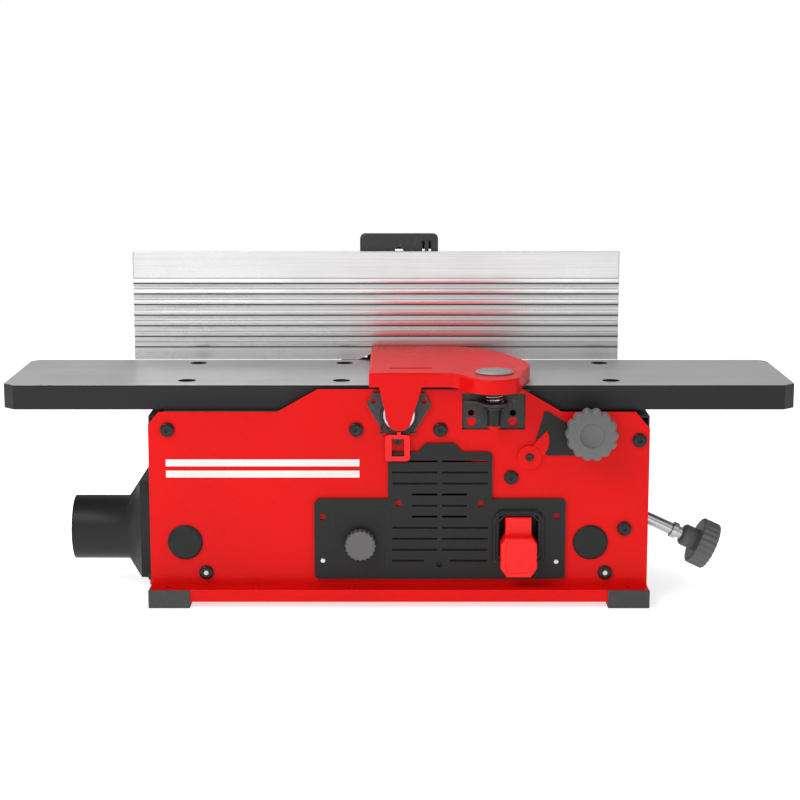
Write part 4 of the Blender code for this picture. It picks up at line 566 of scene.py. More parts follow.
def pillar(shape, outline, height, width=0.0, segments=2, place=None):
    """A flat outline of (x, y) points raised to a height along Z, with its upper edge rounded."""
    before = set(shape.verts)
    floor = shape.faces.new([shape.verts.new((*point, 0)) for point in outline])
    roof, roof_verts = extruded(shape, [floor], keep=True)
    bmesh.ops.translate(shape, verts=roof_verts, vec=(0, 0, height))
    if width:
        round_edges(shape, list(roof[0].edges), width, segments)
    place_new(shape, before, place)


def drawn_up(shape, rim, rings):
    """Raises a closed disc ring by ring: each ring is a function that gives a turn angle its (radius, height)."""
    face = next(iter(rim[0].link_faces))
    for level, ring in enumerate(rings):
        faces, verts = extruded(shape, [face], keep=level == 0)
        face = faces[0]
        for vert in verts:
            turn = math.atan2(vert.co.y, vert.co.x)
            radius, height = ring(turn)
            vert.co = (radius * math.cos(turn), radius * math.sin(turn), height)


def socket_screw(shape, place, radius, height, socket=0.5, steps=36):
    """A button-head screw with a six-sided socket, standing on the point and axis of its place."""
    before = set(shape.verts)
    rim = bmesh.ops.create_circle(shape, segments=steps, radius=radius, cap_ends=True)["verts"]

    def plain(share, rise):
        return lambda turn: (radius * share, height * rise)

    def hexagon(rise):
        return lambda turn: (radius * socket * math.cos(math.pi / 6)
                             / math.cos(turn % (math.pi / 3) - math.pi / 6), height * rise)

    drawn_up(shape, rim, [plain(1.0, 0.5), plain(0.97, 0.72), plain(0.89, 0.89), plain(0.76, 0.98),
                          plain(socket + 0.1, 1.0), hexagon(1.0), hexagon(0.25)])
    place_new(shape, before, place)


def fluted(shape, radius, depth, lobes, height, width, place, dish=0.0, dish_depth=0.0, sharp=1.0):
    """A knob with soft flutes round it, its face rounded over and dished if asked, drawn up from Z = 0."""
    before = set(shape.verts)

    def lobed(inset, rise):
        def ring(turn):
            swing = (0.5 + 0.5 * math.cos(lobes * turn)) ** sharp
            return radius - inset - depth * (1 - swing), rise
        return ring

    def plain(reach, rise):
        return lambda turn: (reach, rise)

    rim = bmesh.ops.create_circle(shape, segments=lobes * sizes().knob_steps, radius=radius - 1.2 * width,
                                  cap_ends=True)["verts"]
    for vert in rim:
        reach = lobed(1.2 * width, 0)(math.atan2(vert.co.y, vert.co.x))[0]
        vert.co *= reach / vert.co.length
    rings = [lobed(0.3 * width, 0.35 * width), lobed(0, width), lobed(0, height - width),
             lobed(0.12 * width, height - 0.6 * width), lobed(0.5 * width, height - 0.18 * width),
             lobed(1.2 * width, height)]
    if dish:
        rings += [plain(dish + 0.6 * MM, height)]
        for step in range(7):
            lean = math.pi / 2 * step / 7
            rings.append(plain(dish * math.cos(lean), height - dish_depth * math.sin(lean)))
    drawn_up(shape, rim, rings)
    place_new(shape, before, place)


def pocket(shape, low, high, normal, depth):
    """Sinks the rectangle between two corners of a flat face, and cuts the face along the rectangle's sides."""
    normal = Vector(normal)
    across = [i for i in range(3) if abs(normal[i]) < 0.5]
    along = next(i for i in range(3) if abs(normal[i]) > 0.5)

    def on_plane(face):
        level = abs(face.calc_center_median()[along] - low[along]) < 0.05 * MM
        return level and face.normal.dot(normal) > 0.99

    for i in across:
        for corner in (low, high):
            faces = [face for face in shape.faces if on_plane(face)]
            parts = list({part for face in faces for part in (*face.verts, *face.edges)}) + faces
            bmesh.ops.bisect_plane(shape, geom=parts, plane_co=corner,
                                   plane_no=(X_AXIS, Y_AXIS, Z_AXIS)[i], dist=0.001 * MM)
    chosen = []
    for face in shape.faces:
        centre = face.calc_center_median()
        if on_plane(face) and all(low[i] < centre[i] < high[i] for i in across):
            chosen.append(face)
    verts = extruded(shape, chosen)[1]
    bmesh.ops.translate(shape, verts=verts, vec=-normal * depth)


def repaint(piece, test, finish_name):
    """Gives the faces that pass a test a second material."""
    piece.data.materials.append(MATERIALS[finish_name])
    index = len(piece.data.materials) - 1
    for face in piece.data.polygons:
        if test(face):
            face.material_index = index


def dress(node):
    """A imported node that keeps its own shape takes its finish."""
    mesh_object = frame["nodes"][node]
    material = MATERIALS[SLOT_OF[node]]
    if not mesh_object.material_slots:
        mesh_object.data.materials.append(material)
    for place in mesh_object.material_slots:
        place.material = material


# Base


def build_base():
    """The sheet panels, feet, beds and service caps with rounded edges."""
    rounding = sizes()
    for node in ("front_panel", "rear_panel", "left_end_panel", "right_end_panel"):
        soften(node, rounding.sheet_round, 3)
    for node in ("foot_front_left", "foot_front_right", "foot_rear_left", "foot_rear_right"):
        soften(node, 1.6 * MM, 3)
    for node in ("outfeed_bed", "infeed_bed", "infeed_saddle"):
        soften(node, rounding.cast_round, 2)
    for node in ("service_cap_left", "service_cap_right"):
        low, high = box(node)
        radius = (high.x - low.x) / 2
        thick = PANEL_FACE - low.y
        shape = bmesh.new()
        profile = rounded_profile([(0, thick), (radius * 0.9, thick * 0.92), (radius, thick * 0.4), (radius, 0),
                                   (radius * 0.66, 0), (radius * 0.66, -4 * MM), (0, -4 * MM)], 0.8 * MM)
        spun(shape, profile, rounding.turn_steps, frame_on(middle_of(node, PANEL_FACE), TOWARDS))
        settle(node + "_disc", shape, "base", "black_plastic", node)


SCREW_RADIUS = 6.9 * MM
SCREW_HEIGHT = 3.2 * MM
SCREW_SOCKET = 0.42  # share of the head's radius
TABLE_SCREW_X = (206, 56)  # millimetres to each side of the middle
# Screws of the front panel that hold its flanges: millimetres from the middle and above the working surface
FLANGE_SCREWS = ((39.6, -41.9), (230.7, -52.4), (-186.8, -182.8), (199.7, -182.9))
PANEL_SCREWS = ("panel_screw_bed_left", "panel_screw_bed_middle", "panel_screw_way_low", "panel_screw_way_high")


def build_screws():
    """Button-head screws of the front panel and the base's flange, and those sunk in the tables."""
    for node in PANEL_SCREWS:
        shape = bmesh.new()
        place = frame_on(middle_of(node, PANEL_FACE - 0.3 * MM), TOWARDS)
        socket_screw(shape, place, SCREW_RADIUS, SCREW_HEIGHT, SCREW_SOCKET)
        settle(node + "_head", shape, "base", "black_steel", node)
    shape = bmesh.new()
    for x, z in FLANGE_SCREWS:
        place = frame_on((x * MM, PANEL_FACE, above(z)), TOWARDS)
        socket_screw(shape, place, SCREW_RADIUS, SCREW_HEIGHT, SCREW_SOCKET)
    settle("flange_screws", shape, "base", "black_steel")
    # White cores in the sockets of the two lower flange screws: painted light where the bright floor shows through
    # the holes.
    shape = bmesh.new()
    for x, z in FLANGE_SCREWS[2:]:
        place = frame_on((x * MM, PANEL_FACE - 0.6 * MM, above(z)), TOWARDS)
        turned(shape, [(0, 2.5), (2.3, 2.3), (2.6, 0), (0, 0)], 0.4, 32, place)
    settle("flange_socket_painted_light", shape, "base", "bright_steel", material="white_print")

    back_high = box("rear_panel")[1]
    shape = bmesh.new()
    rear_x, rear_y = 0.93 * back_high.x, box("belt_cover")[0].y - 0.3 * MM
    for side in (-1, 1):
        for z in (back_high.z - 22 * MM, 36 * MM):
            socket_screw(shape, frame_on((side * rear_x, rear_y, z), Y_AXIS), 5 * MM, 2.6 * MM, 0.45)
    settle("rear_screws", shape, "base", "black_steel")

    for side, body in ((-1, "base"), (1, "infeed")):
        shape = bmesh.new()
        for x in TABLE_SCREW_X:
            for y in (FRONT + 27 * MM, BACK - 22.5 * MM):
                place = frame_on((side * x * MM, y, above(-6.9)), Z_AXIS)
                socket_screw(shape, place, 7.6 * MM, 4.4 * MM, 0.5)
        settle("table_screws_outfeed" if side < 0 else "table_screws_infeed", shape, body, "black_steel")


# Tables


def build_tables():
    """The two tables with rounded edges."""
    for node in ("outfeed_table", "infeed_table"):
        shape = merged(node)
        round_edges(shape, sharp_edges(shape, 35, 6 * MM), sizes().table_round, 3)
        piece = settle(node + "_ground", shape, BODY_OF[node], "machined_aluminium", node, angle=40)
        level = TOP - 0.4 * MM
        repaint(piece, lambda face: not (face.normal.z > 0.6 and face.center.z > level), "black_paint")


# Fence

FINE_FIRST, GROOVE_PITCH, FINE_LINES = 18.7, 11.05, 7  # millimetres


def build_fence():
    """The fence face with its fine lines and grooves darkened by painted shade, its carriage and its levers."""
    low, high = box("fence")
    shape = merged("fence")
    margin, half = 0.8 * MM, 0.45 * MM
    for i in range(FINE_LINES):
        z = above(FINE_FIRST + GROOVE_PITCH * i)
        pocket(shape, (low.x + margin, low.y, z - half), (high.x - margin, low.y, z + half), TOWARDS,
               sizes().fine_groove)
    top_edges = [edge for edge in sharp_edges(shape, 50, 100 * MM)
                 if min(vert.co.z for vert in edge.verts) > high.z - 1 * MM]
    round_edges(shape, top_edges, 0.9 * MM, 3)
    for vert in shape.verts:
        if vert.co.z < low.z + 0.01 * MM:
            vert.co.z = TOP + 0.25 * MM
    piece = settle("fence_extrusion", shape, "fence", "brushed_aluminium", "fence")
    # The faces sunk into the fence face take darker finishes: painted shade, lighter in the shallow fine lines and
    # darker in the deep grooves.
    for name, nearest, deepest in (("fine_line_painted_shade", 0.02, 0.36), ("groove_painted_shade", 0.36, 1.2)):
        repaint(piece, lambda face: nearest * MM < face.center.y - low.y < deepest * MM
                and low.z + 3 * MM < face.center.z < high.z - 3 * MM, name)
    for node, width in (("fence_bracket", 0.9), ("fence_carriage", 0.9), ("fence_support", 1.0),
                        ("slide_lock_lever", 0.8), ("tilt_lock_lever", 0.8)):
        soften(node, width * MM)

    bracket = box("fence_bracket")
    shape = bmesh.new()
    for x in (-22, 22):
        for z in (34, 96):
            place = frame_on((x * MM, bracket[0].y + 6 * MM, above(z)), Y_AXIS)
            socket_screw(shape, place, 5.5 * MM, 3 * MM, 0.5)
    settle("fence_screws", shape, "fence", "black_steel")
    shape = bmesh.new()
    slab(shape, (-38 * MM, bracket[1].y - 0.4 * MM, above(113.2)), (38 * MM, bracket[1].y + 1.2 * MM, above(129)),
         0.5 * MM)
    settle("bracket_back_plate", shape, "fence", "dark_casting")


# Guard

GUARD_FRONT = FRONT - 17.15 * MM  # level with the tongue's face
NEARLY = 0.01 * MM
LEAST_WALL = 4e-6  # square metres, above which a face at the rim is one of the guard's walls
KEYHOLE_X = (69, 109)
GUARD_RECESS = ((-9, 6.5), (32, 13.5))  # millimetres, X and behind the tables' front edge


def build_guard():
    """The cutter guard with its rounded rim, recess, cap and post."""
    low, high = box("guard")
    shape = merged("guard")
    for vert in shape.verts:
        if vert.co.x < 50 * MM and abs(vert.co.y - FRONT + 14 * MM) < 0.3 * MM and vert.co.z > TOP - 0.2 * MM:
            vert.co.y = GUARD_FRONT
    near, far = (Vector((x * MM, FRONT + y * MM, high.z)) for x, y in GUARD_RECESS)
    pocket(shape, near, far, Z_AXIS, 1.1 * MM)

    def at_top(vert):
        return abs(vert.co.z - high.z) < 0.01 * MM

    def in_recess(vert):
        return all(near[i] - NEARLY < vert.co[i] < far[i] + NEARLY for i in (0, 1))

    rim = [edge for edge in sharp_edges(shape, 60) if all(map(at_top, edge.verts))
           and any(abs(face.normal.z) < 0.5 and face.calc_area() > LEAST_WALL for face in edge.link_faces)
           and not all(map(in_recess, edge.verts))]
    round_edges(shape, rim, sizes().guard_round, 4)
    others = [edge for edge in sharp_edges(shape, 50, 5 * MM)
              if max(vert.co.z for vert in edge.verts) < TOP + 0.2 * MM]
    round_edges(shape, others, 0.5 * MM, 2)
    settle("guard_casting", shape, "guard", "red_enamel", "guard", angle=30)

    low, high = box("guard_cap")
    radius = (high.x - low.x) / 2
    thick = high.z - low.z
    shape = bmesh.new()
    profile = rounded_profile([(0, thick * 0.86), (radius * 0.3, thick), (radius * 0.86, thick * 0.9),
                               (radius, thick * 0.35), (radius, 0), (0, 0)], 1.2 * MM)
    centre = middle_of("guard_cap")
    spun(shape, profile, sizes().turn_steps, frame_on((centre.x, centre.y, low.z), Z_AXIS))
    settle("guard_cap_disc", shape, "guard", "grey_plastic", "guard_cap", material="cap_grey")

    soften("guard_bracket", 0.4 * MM)
    soften("guard_post", 0.5 * MM)
    centre = middle_of("guard_post")
    centre.z = box("guard_post")[0].z
    shape = bmesh.new()
    turned(shape, [(0, -3.2), (5.6, -3.2), (6.3, 0), (0, 0)], 0.8, 40, frame_on(centre, Z_AXIS))
    settle("post_end_cap", shape, "guard_post", "red_enamel")
    shape = bmesh.new()
    for x in KEYHOLE_X:
        disc = [(0, 0.5 * MM), (4.6 * MM, 0.5 * MM), (4.6 * MM, 0), (0, 0)]
        spun(shape, disc, 32, frame_on((x * MM, PANEL_FACE + 4.2 * MM, above(-35)), TOWARDS))
    settle("keyhole_discs", shape, "base", "red_enamel")


# Cutter end

BEARING_BORE = 7.8 * MM
LOCK_EAR_X = (-16.2, 13.6)  # millimetres, clear of the head lock at the ends of its slide


def build_cutter_end():
    """The cutter head, its bearings, the drive and the head lock."""
    for node, width in (("front_bearing_plate", 0.5), ("rear_bearing_plate", 0.5), ("knife_a", 0.2),
                        ("knife_b", 0.2), ("motor", 0.3), ("motor_shaft", 0.3), ("drive_pulley", 0.3),
                        ("driven_pulley", 0.3), ("drive_belt", 0.3)):
        soften(node, width * MM)
    for node in ("cutterhead", "wedge_a", "wedge_b"):
        soften(node, 0.3 * MM, material="cutter_steel")
    for node, out in (("front_bearing", TOWARDS), ("rear_bearing", Y_AXIS)):
        low, high = box(node)
        outer = (high.x - low.x) / 2
        width = high.y - low.y
        place = frame_on(middle_of(node, low.y if out.y < 0 else high.y), out)
        # The outer black ring is painted shade for the gap round the bearing in its bore; the bright ring inside it
        # is the bearing's own outer ring.
        rings = (("gap_shade_ring", outer - 2.3 * MM, outer, -width, 0, "black_steel", ()),
                 ("ring", outer - 4.3 * MM, outer - 2.25 * MM, -2.4 * MM, -0.5 * MM, "bright_steel", ()),
                 ("bush", BEARING_BORE, BEARING_BORE + 2.9 * MM, -width, 0, "bright_steel", (node,)))
        for word, inner, rim, back, front, slot, stood_for in rings:
            shape = bmesh.new()
            profile = rounded_profile([(inner, back), (rim, back), (rim, front), (inner, front)], 0.4 * MM)
            spun(shape, profile, sizes().turn_steps, place, closed=True)
            settle(node + "_" + word, shape, "base", slot, *stood_for)
        shield = bmesh.new()
        inner, rim = BEARING_BORE + 2.8 * MM, outer - 4.2 * MM
        dish = [(inner, -1.4 * MM), (inner + 0.8 * MM, -0.9 * MM), (rim - 0.6 * MM, -0.9 * MM),
                (rim, -1.4 * MM), (rim, -2.4 * MM), (inner, -2.4 * MM)]
        spun(shield, dish, sizes().turn_steps, place, closed=True)
        settle(node + "_shield", shield, "base", "rubber")
    soften("belt_cover", 1.4 * MM, 3)
    soften("head_lock", 0.6 * MM, 3, material="red_plastic")

    low, high = box("head_lock")
    middle = (low.x + high.x) / 2 + 0.2 * MM
    shape = bmesh.new()
    socket_screw(shape, frame_on((middle, low.y + 2.2 * MM, high.z - 8.6 * MM), TOWARDS), 4.4 * MM, 2 * MM, 0.5)
    settle("head_lock_screw", shape, "head_lock", "black_steel")
    shape = bmesh.new()
    for x in LOCK_EAR_X:
        slab(shape, (x * MM - 1.4 * MM, PANEL_FACE - 3.6 * MM, above(-44.5)),
             (x * MM + 1.4 * MM, PANEL_FACE - 0.2 * MM, above(-36.5)), 0.7 * MM)
        slab(shape, (x * MM - 2.4 * MM, PANEL_FACE - 4.2 * MM, above(-45.5)),
             (x * MM + 2.4 * MM, PANEL_FACE - 2.4 * MM, above(-43.6)), 0.6 * MM)
    settle("lock_ears", shape, "base", "black_steel")
    shape = bmesh.new()
    slab(shape, (middle - 4.4 * MM, low.y + 1.2 * MM, low.z + 5.4 * MM),
         (middle + 4.4 * MM, low.y + 2.3 * MM, low.z + 8.4 * MM), 0.4 * MM)
    settle("head_lock_slot", shape, "head_lock", "black_plastic")


# Controls

# millimetres: X and, for heights, above the working surface
DIAL_POCKET = ((-62.7, -181), (-12, -120))
# Black sheets just behind the control panel's vents: painted shade for the dark inside behind them.
VENT_SHADE_SHEETS = ((-6, 88, -186, -123), (10, 72, -128, -102), (-6, 88, -106, -76))
PANEL_RIVETS = ((-73.6, -170.7), (152.1, -171.8))


def octagon(x0, x1, z0, z1, chamfer):
    """The eight (x, z) corners of a rectangle with its own corners cut."""
    return [(x0 + chamfer, z0), (x1 - chamfer, z0), (x1, z0 + chamfer), (x1, z1 - chamfer), (x1 - chamfer, z1),
            (x0 + chamfer, z1), (x0, z1 - chamfer), (x0, z0 + chamfer)]


def raised_frame(shape, outer, inner, back, rise, width):
    """A flat frame between two outlines of (x, z) points, standing forward from a plane."""
    loops = []
    for outline in (outer, inner):
        points = [shape.verts.new((x, back, z)) for x, z in outline]
        loops += [shape.edges.new(pair) for pair in zip(points, points[1:] + points[:1])]
    faces = bmesh.ops.bridge_loops(shape, edges=loops)["faces"]
    bmesh.ops.recalc_face_normals(shape, faces=faces)
    front_verts = extruded(shape, faces, keep=True)[1]
    bmesh.ops.translate(shape, verts=front_verts, vec=(0, -rise, 0))
    bmesh.ops.recalc_face_normals(shape, faces=shape.faces)
    front_set = set(front_verts)
    edges = [edge for edge in sharp_edges(shape, 50) if all(vert in front_set for vert in edge.verts)]
    round_edges(shape, edges, width, 2)


def build_controls():
    """The control panel, the switch with its paddle, and the speed knob."""
    shape = merged("control_panel")
    low, high = box("control_panel")
    near, far = ((x * MM, low.y, above(z)) for x, z in DIAL_POCKET)
    pocket(shape, near, far, TOWARDS, 0.45 * MM)
    edges = [edge for edge in sharp_edges(shape, 50, 1.5 * MM)
             if all(abs(vert.co.y - low.y) < 0.01 * MM for vert in edge.verts)]
    round_edges(shape, edges, 0.55 * MM, 2)
    settle("control_panel_moulding", shape, "base", "black_plastic", "control_panel")
    # Black sheets behind the vent slots: painted shade, so that the vents read dark.
    shape = bmesh.new()
    for x0, x1, z0, z1 in VENT_SHADE_SHEETS:
        slab(shape, (x0 * MM, PANEL_FACE - 0.26 * MM, above(z0)), (x1 * MM, PANEL_FACE - 0.06 * MM, above(z1)))
    settle("vent_shade_sheet", shape, "base", "black_plastic")

    soften("switch_body", 0.5 * MM)
    low, high = box("switch_body")
    shape = bmesh.new()
    for inset, chamfer, rise in ((1.2 * MM, 8 * MM, 1.2 * MM), (4.0 * MM, 7 * MM, 0.9 * MM)):
        outer, inner = (
            octagon(low.x + edge, high.x - edge, low.z + edge, high.z - edge, cut)
            for edge, cut in ((inset, chamfer), (inset + 1.1 * MM, chamfer - 0.4 * MM))
        )
        raised_frame(shape, outer, inner, low.y + 0.1 * MM, rise, 0.25 * MM)
    settle("switch_bezel_rims", shape, "base", "black_plastic")
    low, high = box("switch_paddle")
    middle = (low.x + high.x) / 2
    shape = bmesh.new()
    place = frame_on((middle, high.y, 0), TOWARDS)
    neck = [(-12.6, high.z / MM), (-12.6, 60), (12.6, 60), (12.6, high.z / MM)]
    pillar(shape, [(x * MM, z * MM) for x, z in neck], 10 * MM, 1.6 * MM, 3, place)
    top_z = 68.5
    face = [(-13.0, top_z), (-17.5, top_z - 6.5), (-17.5, low.z / MM + 8.5), (-11.5, low.z / MM),
            (11.5, low.z / MM), (17.5, low.z / MM + 8.5), (17.5, top_z - 6.5), (13.0, top_z)]
    pillar(shape, [(x * MM, z * MM) for x, z in face], 21 * MM, 1.6 * MM, 3, place)
    roof = max(shape.faces, key=lambda face: -face.calc_center_median().y * (face.calc_area() > 1e-4))
    bmesh.ops.inset_region(shape, faces=[roof], thickness=2.6 * MM, depth=0)
    bmesh.ops.inset_region(shape, faces=[roof], thickness=1.0 * MM, depth=-0.9 * MM)
    bmesh.ops.recalc_face_normals(shape, faces=shape.faces)
    settle("paddle_moulding", shape, "paddle", "red_enamel", "switch_paddle", material="red_plastic")
    soften("speed_control", 0.8 * MM)

    shape = bmesh.new()
    for x, z in PANEL_RIVETS:
        place = frame_on((x * MM, CONTROL_FACE + 1.6 * MM, above(z)), TOWARDS)
        turned(shape, [(0, 1.1), (2.4, 0.9), (3.0, 0), (0, 0)], 0.5, 32, place)
    settle("panel_rivets", shape, "base", "bright_steel")

    place = frame_on(middle_of("speed_knob", CONTROL_FACE - 0.6 * MM), TOWARDS)
    shape = bmesh.new()
    fluted(shape, 15 * MM, 1.1 * MM, 20, 11.5 * MM, 1.6 * MM, place)
    profile = [(0, 1 * MM), (3 * MM, 1 * MM), (3 * MM, -4.8 * MM), (0, -4.8 * MM)]
    spun(shape, profile, 32, place)
    settle("speed_knob_dial", shape, "speed_knob", "grey_plastic", "speed_knob")


# Hand knobs and the height screw

SCREW_AXIS = Vector(JOINTS["height_screw_turn"]["axis"]).normalized()
SCREW_FOOT = Vector((242 * MM, -54 * MM, 70.8 * MM))
SCREW_REACH = 60.3 * MM
POINTER_PIVOT = (125.2 * MM, 0, TOP - 68.5 * MM)


def build_knobs():
    """The hand knobs and the height screw, turned."""
    place = frame_on(middle_of("table_lock_knob", box("table_lock_knob")[0].y + 17 * MM), TOWARDS)
    shape = bmesh.new()
    fluted(shape, 25 * MM, 2.3 * MM, 14, 17 * MM, 3 * MM, place, dish=12 * MM, dish_depth=4 * MM, sharp=0.6)
    turned(shape, [(0, 3), (11, 3), (11, -12.3), (4, -12.3), (4, -44), (0, -44)], 0.8, 64, place)
    settle("table_lock_handwheel", shape, "table_lock", "grey_plastic", "table_lock_knob")

    place = frame_on(SCREW_AXIS * SCREW_REACH + SCREW_FOOT, SCREW_AXIS)
    shape = bmesh.new()
    fluted(shape, 24 * MM, 1.3 * MM, 24, 18 * MM, 1.8 * MM, place, dish=9 * MM, dish_depth=0.8 * MM)
    turned(shape, [(0, 4), (11, 4), (11, -12.5), (9, -15), (0, -15)], 1, 64, place)
    settle("height_handwheel", shape, "height_screw", "grey_plastic", "height_knob")

    place = frame_on(SCREW_FOOT, SCREW_AXIS)
    corners = [(0, 62), (6, 62), (6, -7), (5, -7), (5, -36), (8, -36), (8, -42), (5, -42), (5, -129), (0, -129)]
    shape = bmesh.new()
    turned(shape, corners, 0.5, 48, place)
    turned(shape, [(6.02, 34), (8.2, 34), (8.2, 40), (6.02, 40)], 0.7, 48, place, closed=True)
    settle("height_screw_rod", shape, "height_screw", "bright_steel", "height_screw")


# Dust outlet, cord gland, depth scale and print


def build_outlet():
    """The dust outlet with its screws, and the cord gland."""
    soften("dust_port", 0.8 * MM)
    soften("dust_chute", 0.5 * MM)
    low, high = box("dust_port")
    flange = low.x + 79.5 * MM
    shape = bmesh.new()
    for y in (low.y + 7 * MM, high.y - 7 * MM):
        for z in (low.z + 7 * MM, high.z - 7 * MM):
            socket_screw(shape, frame_on((flange, y, z), -X_AXIS), 4 * MM, 2.4 * MM, 0.5)
    settle("outlet_screws", shape, "base", "black_steel")

    corners = [(4.2, 20), (7, 20), (8, 6), (11, 5), (11, 0), (6.6, 0), (6.6, -6), (4.2, -6)]
    shape = bmesh.new()
    turned(shape, corners, 0.6, 48, frame_on(middle_of("cord_gland", REAR_BACK), Y_AXIS), closed=True)
    settle("cord_gland_turned", shape, "base", "rubber", "cord_gland")


def build_depth_scale():
    """The depth scale and its pointer."""
    soften("depth_scale", 0.25 * MM)
    low, high = box("depth_pointer")
    place = frame_on((POINTER_PIVOT[0], high.y, POINTER_PIVOT[2]), TOWARDS)
    shape = bmesh.new()
    thick = high.y - low.y
    turned(shape, [(0, thick / MM), (11.6, thick / MM), (11.6, 0), (0, 0)], 0.6, 64, place)
    blade = [(2, 6), (3.2, 11.2), (7.6, 17), (16.4, 25.6), (18.4, 21.5), (18.9, 14.5), (17.4, 8), (14, 2.4),
             (8, 0)]
    pillar(shape, [(x * MM, z * MM) for x, z in blade], thick - 0.8 * MM, 0.45 * MM, 2, place)
    settle("pointer_blade", shape, "pointer", "red_enamel", "depth_pointer")
    shape = bmesh.new()
    centre = (POINTER_PIVOT[0], low.y + 0.3 * MM, POINTER_PIVOT[2])
    socket_screw(shape, frame_on(centre, TOWARDS), 3.9 * MM, 1.8 * MM, 0.5)
    settle("pointer_screw", shape, "pointer", "black_steel")


# millimetres; heights are from the tables' top
STRIPE_ENDS = (-224, -38)
STRIPE_HEIGHTS = (-74.5, -85.5)
HALF_STRIPE = 3.4


def build_stripes():
    """Plain white stripes on the front panel."""
    x0, x1 = STRIPE_ENDS
    shape = bmesh.new()
    for z in STRIPE_HEIGHTS:
        low = (x0 * MM, PANEL_FACE - 0.12 * MM, above(z - HALF_STRIPE))
        high = (x1 * MM, PANEL_FACE + 0.2 * MM, above(z + HALF_STRIPE))
        slab(shape, low, high, 0.06 * MM, 1)
    settle("front_stripes", shape, "base", "red_enamel", material="white_print")


def dress_remaining():
    """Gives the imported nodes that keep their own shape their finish."""
    for node in frame["nodes"]:
        if node not in STOOD_FOR:
            dress(node)


# Studio

AIR_LIGHT = 0.40  # for every ray that isn't the camera's own
FLOOR_GLOW = 0.64
LAMPS = (
    # name, place, target, watts, width, height
    ("key_light", (-1.2, -1.5, 1.7), (0, 0, 0.12), 27, 1.3, 1.3),
    ("fill_light", (1.7, -1.7, 1.3), (0, 0, 0.12), 3, 1.2, 1.2),
    ("top_light", (-0.3, 0.75, 1.8), (0, 0, 0.2), 17, 1.8, 0.9),
)


def area_light(name, place, target, power, width, height):
    """A rectangular lamp at a place, turned to a target."""
    light = bpy.data.lights.new(name, "AREA")
    light.shape = "RECTANGLE"
    light.energy = power
    light.size = width
    light.size_y = height
    lamp = bpy.data.objects.new(name, light)
    lamp.location = place
    lamp.rotation_euler = (Vector(target) - Vector(place)).to_track_quat("-Z", "Y").to_euler()
    bpy.context.scene.collection.objects.link(lamp)


def build_studio():
    """The floor, the lights, the air's own light and the camera."""
    scene = bpy.context.scene
    scene.view_settings.view_transform = "Standard"
    world = bpy.data.worlds.new("studio_air")
    world.use_nodes = True
    net = Net(world.node_tree)
    backing = world.node_tree.nodes["Background"]
    backing.inputs["Color"].default_value = (1, 1, 1, 1)
    rays = net.add("ShaderNodeLightPath")
    net.wire(net.span(rays.outputs["Is Camera Ray"], 0, 1, AIR_LIGHT, 1.0), backing.inputs["Strength"])
    scene.world = world

    material = bpy.data.materials.new("studio_floor")
    material.use_nodes = True
    shader = material.node_tree.nodes["Principled BSDF"]
    shader.inputs["Base Color"].default_value = (0.93, 0.93, 0.93, 1)
    shader.inputs["Roughness"].default_value = 0.6
    shader.inputs["Specular IOR Level"].default_value = 0.2
    shader.inputs["Emission Color"].default_value = (1, 1, 1, 1)
    shader.inputs["Emission Strength"].default_value = FLOOR_GLOW
    shape = bmesh.new()
    bmesh.ops.create_grid(shape, x_segments=1, y_segments=1, size=6.0)
    mesh = bpy.data.meshes.new("studio_floor")
    shape.to_mesh(mesh)
    shape.free()
    mesh.materials.append(material)
    floor = bpy.data.objects.new("studio_floor", mesh)
    scene.collection.objects.link(floor)

    for name, place, target, power, width, height in LAMPS:
        area_light(name, place, target, power, width, height)

    camera_data = bpy.data.cameras.new("view")
    camera_data.sensor_width = 36
    camera_data.lens = 85.7
    camera = bpy.data.objects.new("view", camera_data)
    camera.location = (0.00097, -1.913, 0.5134)
    camera.rotation_euler = (math.radians(80.05), 0, 0)
    scene.collection.objects.link(camera)
    scene.camera = camera


# Operators


class JOINTER_OT_studio(Operator):
    """Set the floor, lights and camera"""

    bl_idname = "jointer.studio"
    bl_label = "Studio"

    def execute(self, context):
        build_studio()
        return {"FINISHED"}


class JOINTER_OT_finishes(Operator):
    """Make the enamel, metals and plastics"""

    bl_idname = "jointer.finishes"
    bl_label = "Finishes"

    def execute(self, context):
        build_finishes()
        return {"FINISHED"}


class JOINTER_OT_base(Operator):
    """Finish the panels, feet, beds and service caps"""

    bl_idname = "jointer.base"
    bl_label = "Base"

    def execute(self, context):
        build_base()
        return {"FINISHED"}


class JOINTER_OT_screws(Operator):
    """Add the screws of the panels and tables"""

    bl_idname = "jointer.screws"
    bl_label = "Screws"

    def execute(self, context):
        build_screws()
        return {"FINISHED"}


class JOINTER_OT_tables(Operator):
    """Finish the two tables"""

    bl_idname = "jointer.tables"
    bl_label = "Tables"

    def execute(self, context):
        build_tables()
        return {"FINISHED"}


class JOINTER_OT_fence(Operator):
    """Finish the fence, its carriage and its levers"""

    bl_idname = "jointer.fence"
    bl_label = "Fence"

    def execute(self, context):
        build_fence()
        return {"FINISHED"}


class JOINTER_OT_guard(Operator):
    """Finish the cutter guard and its post"""

    bl_idname = "jointer.guard"
    bl_label = "Guard"

    def execute(self, context):
        build_guard()
        return {"FINISHED"}


class JOINTER_OT_cutter_end(Operator):
    """Finish the cutter head, bearings, drive and head lock"""

    bl_idname = "jointer.cutter_end"
    bl_label = "Cutter head and drive"

    def execute(self, context):
        build_cutter_end()
        return {"FINISHED"}


class JOINTER_OT_controls(Operator):
    """Finish the control panel, switch and speed knob"""

    bl_idname = "jointer.controls"
    bl_label = "Controls"

    def execute(self, context):
        build_controls()
        return {"FINISHED"}


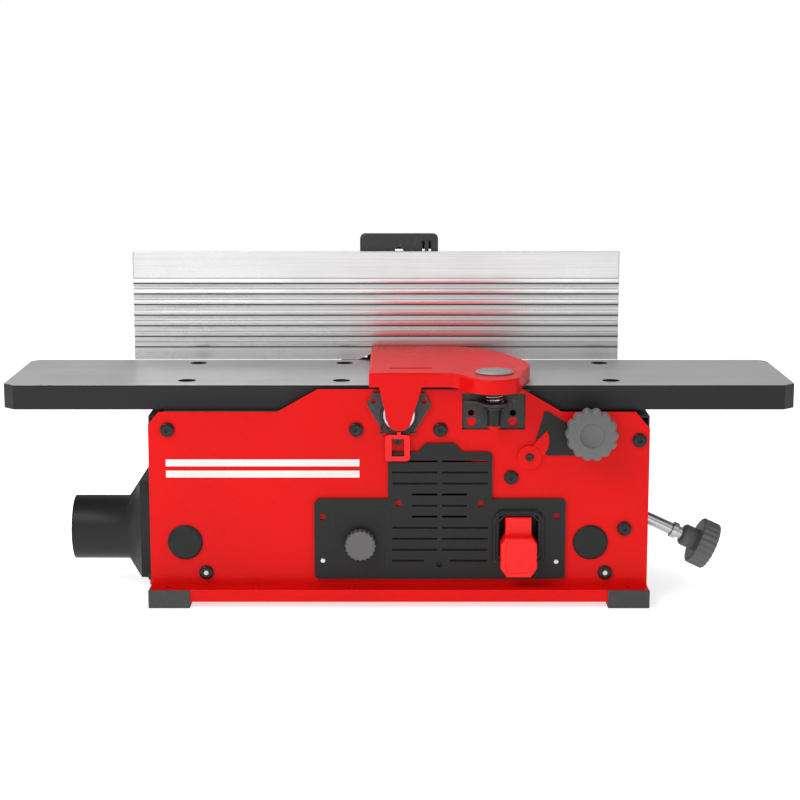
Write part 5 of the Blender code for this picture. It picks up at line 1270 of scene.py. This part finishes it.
class JOINTER_OT_knobs(Operator):
    """Turn the hand knobs and the height screw"""

    bl_idname = "jointer.knobs"
    bl_label = "Hand knobs"

    def execute(self, context):
        build_knobs()
        return {"FINISHED"}


class JOINTER_OT_outlet(Operator):
    """Finish the dust outlet and the cord gland"""

    bl_idname = "jointer.outlet"
    bl_label = "Dust outlet"

    def execute(self, context):
        build_outlet()
        return {"FINISHED"}


class JOINTER_OT_depth_scale(Operator):
    """Finish the depth scale and its pointer"""

    bl_idname = "jointer.depth_scale"
    bl_label = "Depth scale"

    def execute(self, context):
        build_depth_scale()
        return {"FINISHED"}


class JOINTER_OT_stripes(Operator):
    """Print the plain stripes, and give the pieces that keep their own shape their finish"""

    bl_idname = "jointer.stripes"
    bl_label = "Stripes"

    def execute(self, context):
        build_stripes()
        dress_remaining()
        return {"FINISHED"}


OPERATORS = (JOINTER_OT_studio, JOINTER_OT_finishes, JOINTER_OT_base, JOINTER_OT_screws, JOINTER_OT_tables,
             JOINTER_OT_fence, JOINTER_OT_guard, JOINTER_OT_cutter_end, JOINTER_OT_controls, JOINTER_OT_knobs,
             JOINTER_OT_outlet, JOINTER_OT_depth_scale, JOINTER_OT_stripes)


class JOINTER_PT_tools(Panel):
    """The jointer's steps and settings"""

    bl_idname = "JOINTER_PT_tools"
    bl_label = "Bench jointer"
    bl_space_type = "VIEW_3D"
    bl_region_type = "UI"
    bl_category = "Jointer"

    def draw(self, context):
        for step in OPERATORS:
            self.layout.operator(step.bl_idname)
        for settings in (context.scene.jointer_sizes, context.scene.jointer_colours):
            column = self.layout.column()
            for name in settings.__annotations__:
                column.prop(settings, name)


CLASSES = (JointerSizes, JointerColours, *OPERATORS, JOINTER_PT_tools)


def register():
    for kind in CLASSES:
        bpy.utils.register_class(kind)
    bpy.types.Scene.jointer_sizes = PointerProperty(type=JointerSizes)
    bpy.types.Scene.jointer_colours = PointerProperty(type=JointerColours)


def unregister():
    del bpy.types.Scene.jointer_colours
    del bpy.types.Scene.jointer_sizes
    for kind in reversed(CLASSES):
        bpy.utils.unregister_class(kind)


def plain(bounds):
    """A box as two plain lists of numbers."""
    return [[float(number) for number in corner] for corner in bounds]


def main():
    register()
    bpy.ops.jointer.studio()
    bpy.ops.jointer.finishes()
    bpy.ops.jointer.base()
    bpy.ops.jointer.screws()
    bpy.ops.jointer.tables()
    bpy.ops.jointer.fence()
    bpy.ops.jointer.guard()
    bpy.ops.jointer.cutter_end()
    bpy.ops.jointer.controls()
    bpy.ops.jointer.knobs()
    bpy.ops.jointer.outlet()
    bpy.ops.jointer.depth_scale()
    bpy.ops.jointer.stripes()


if __name__ == "__main__":
    main()
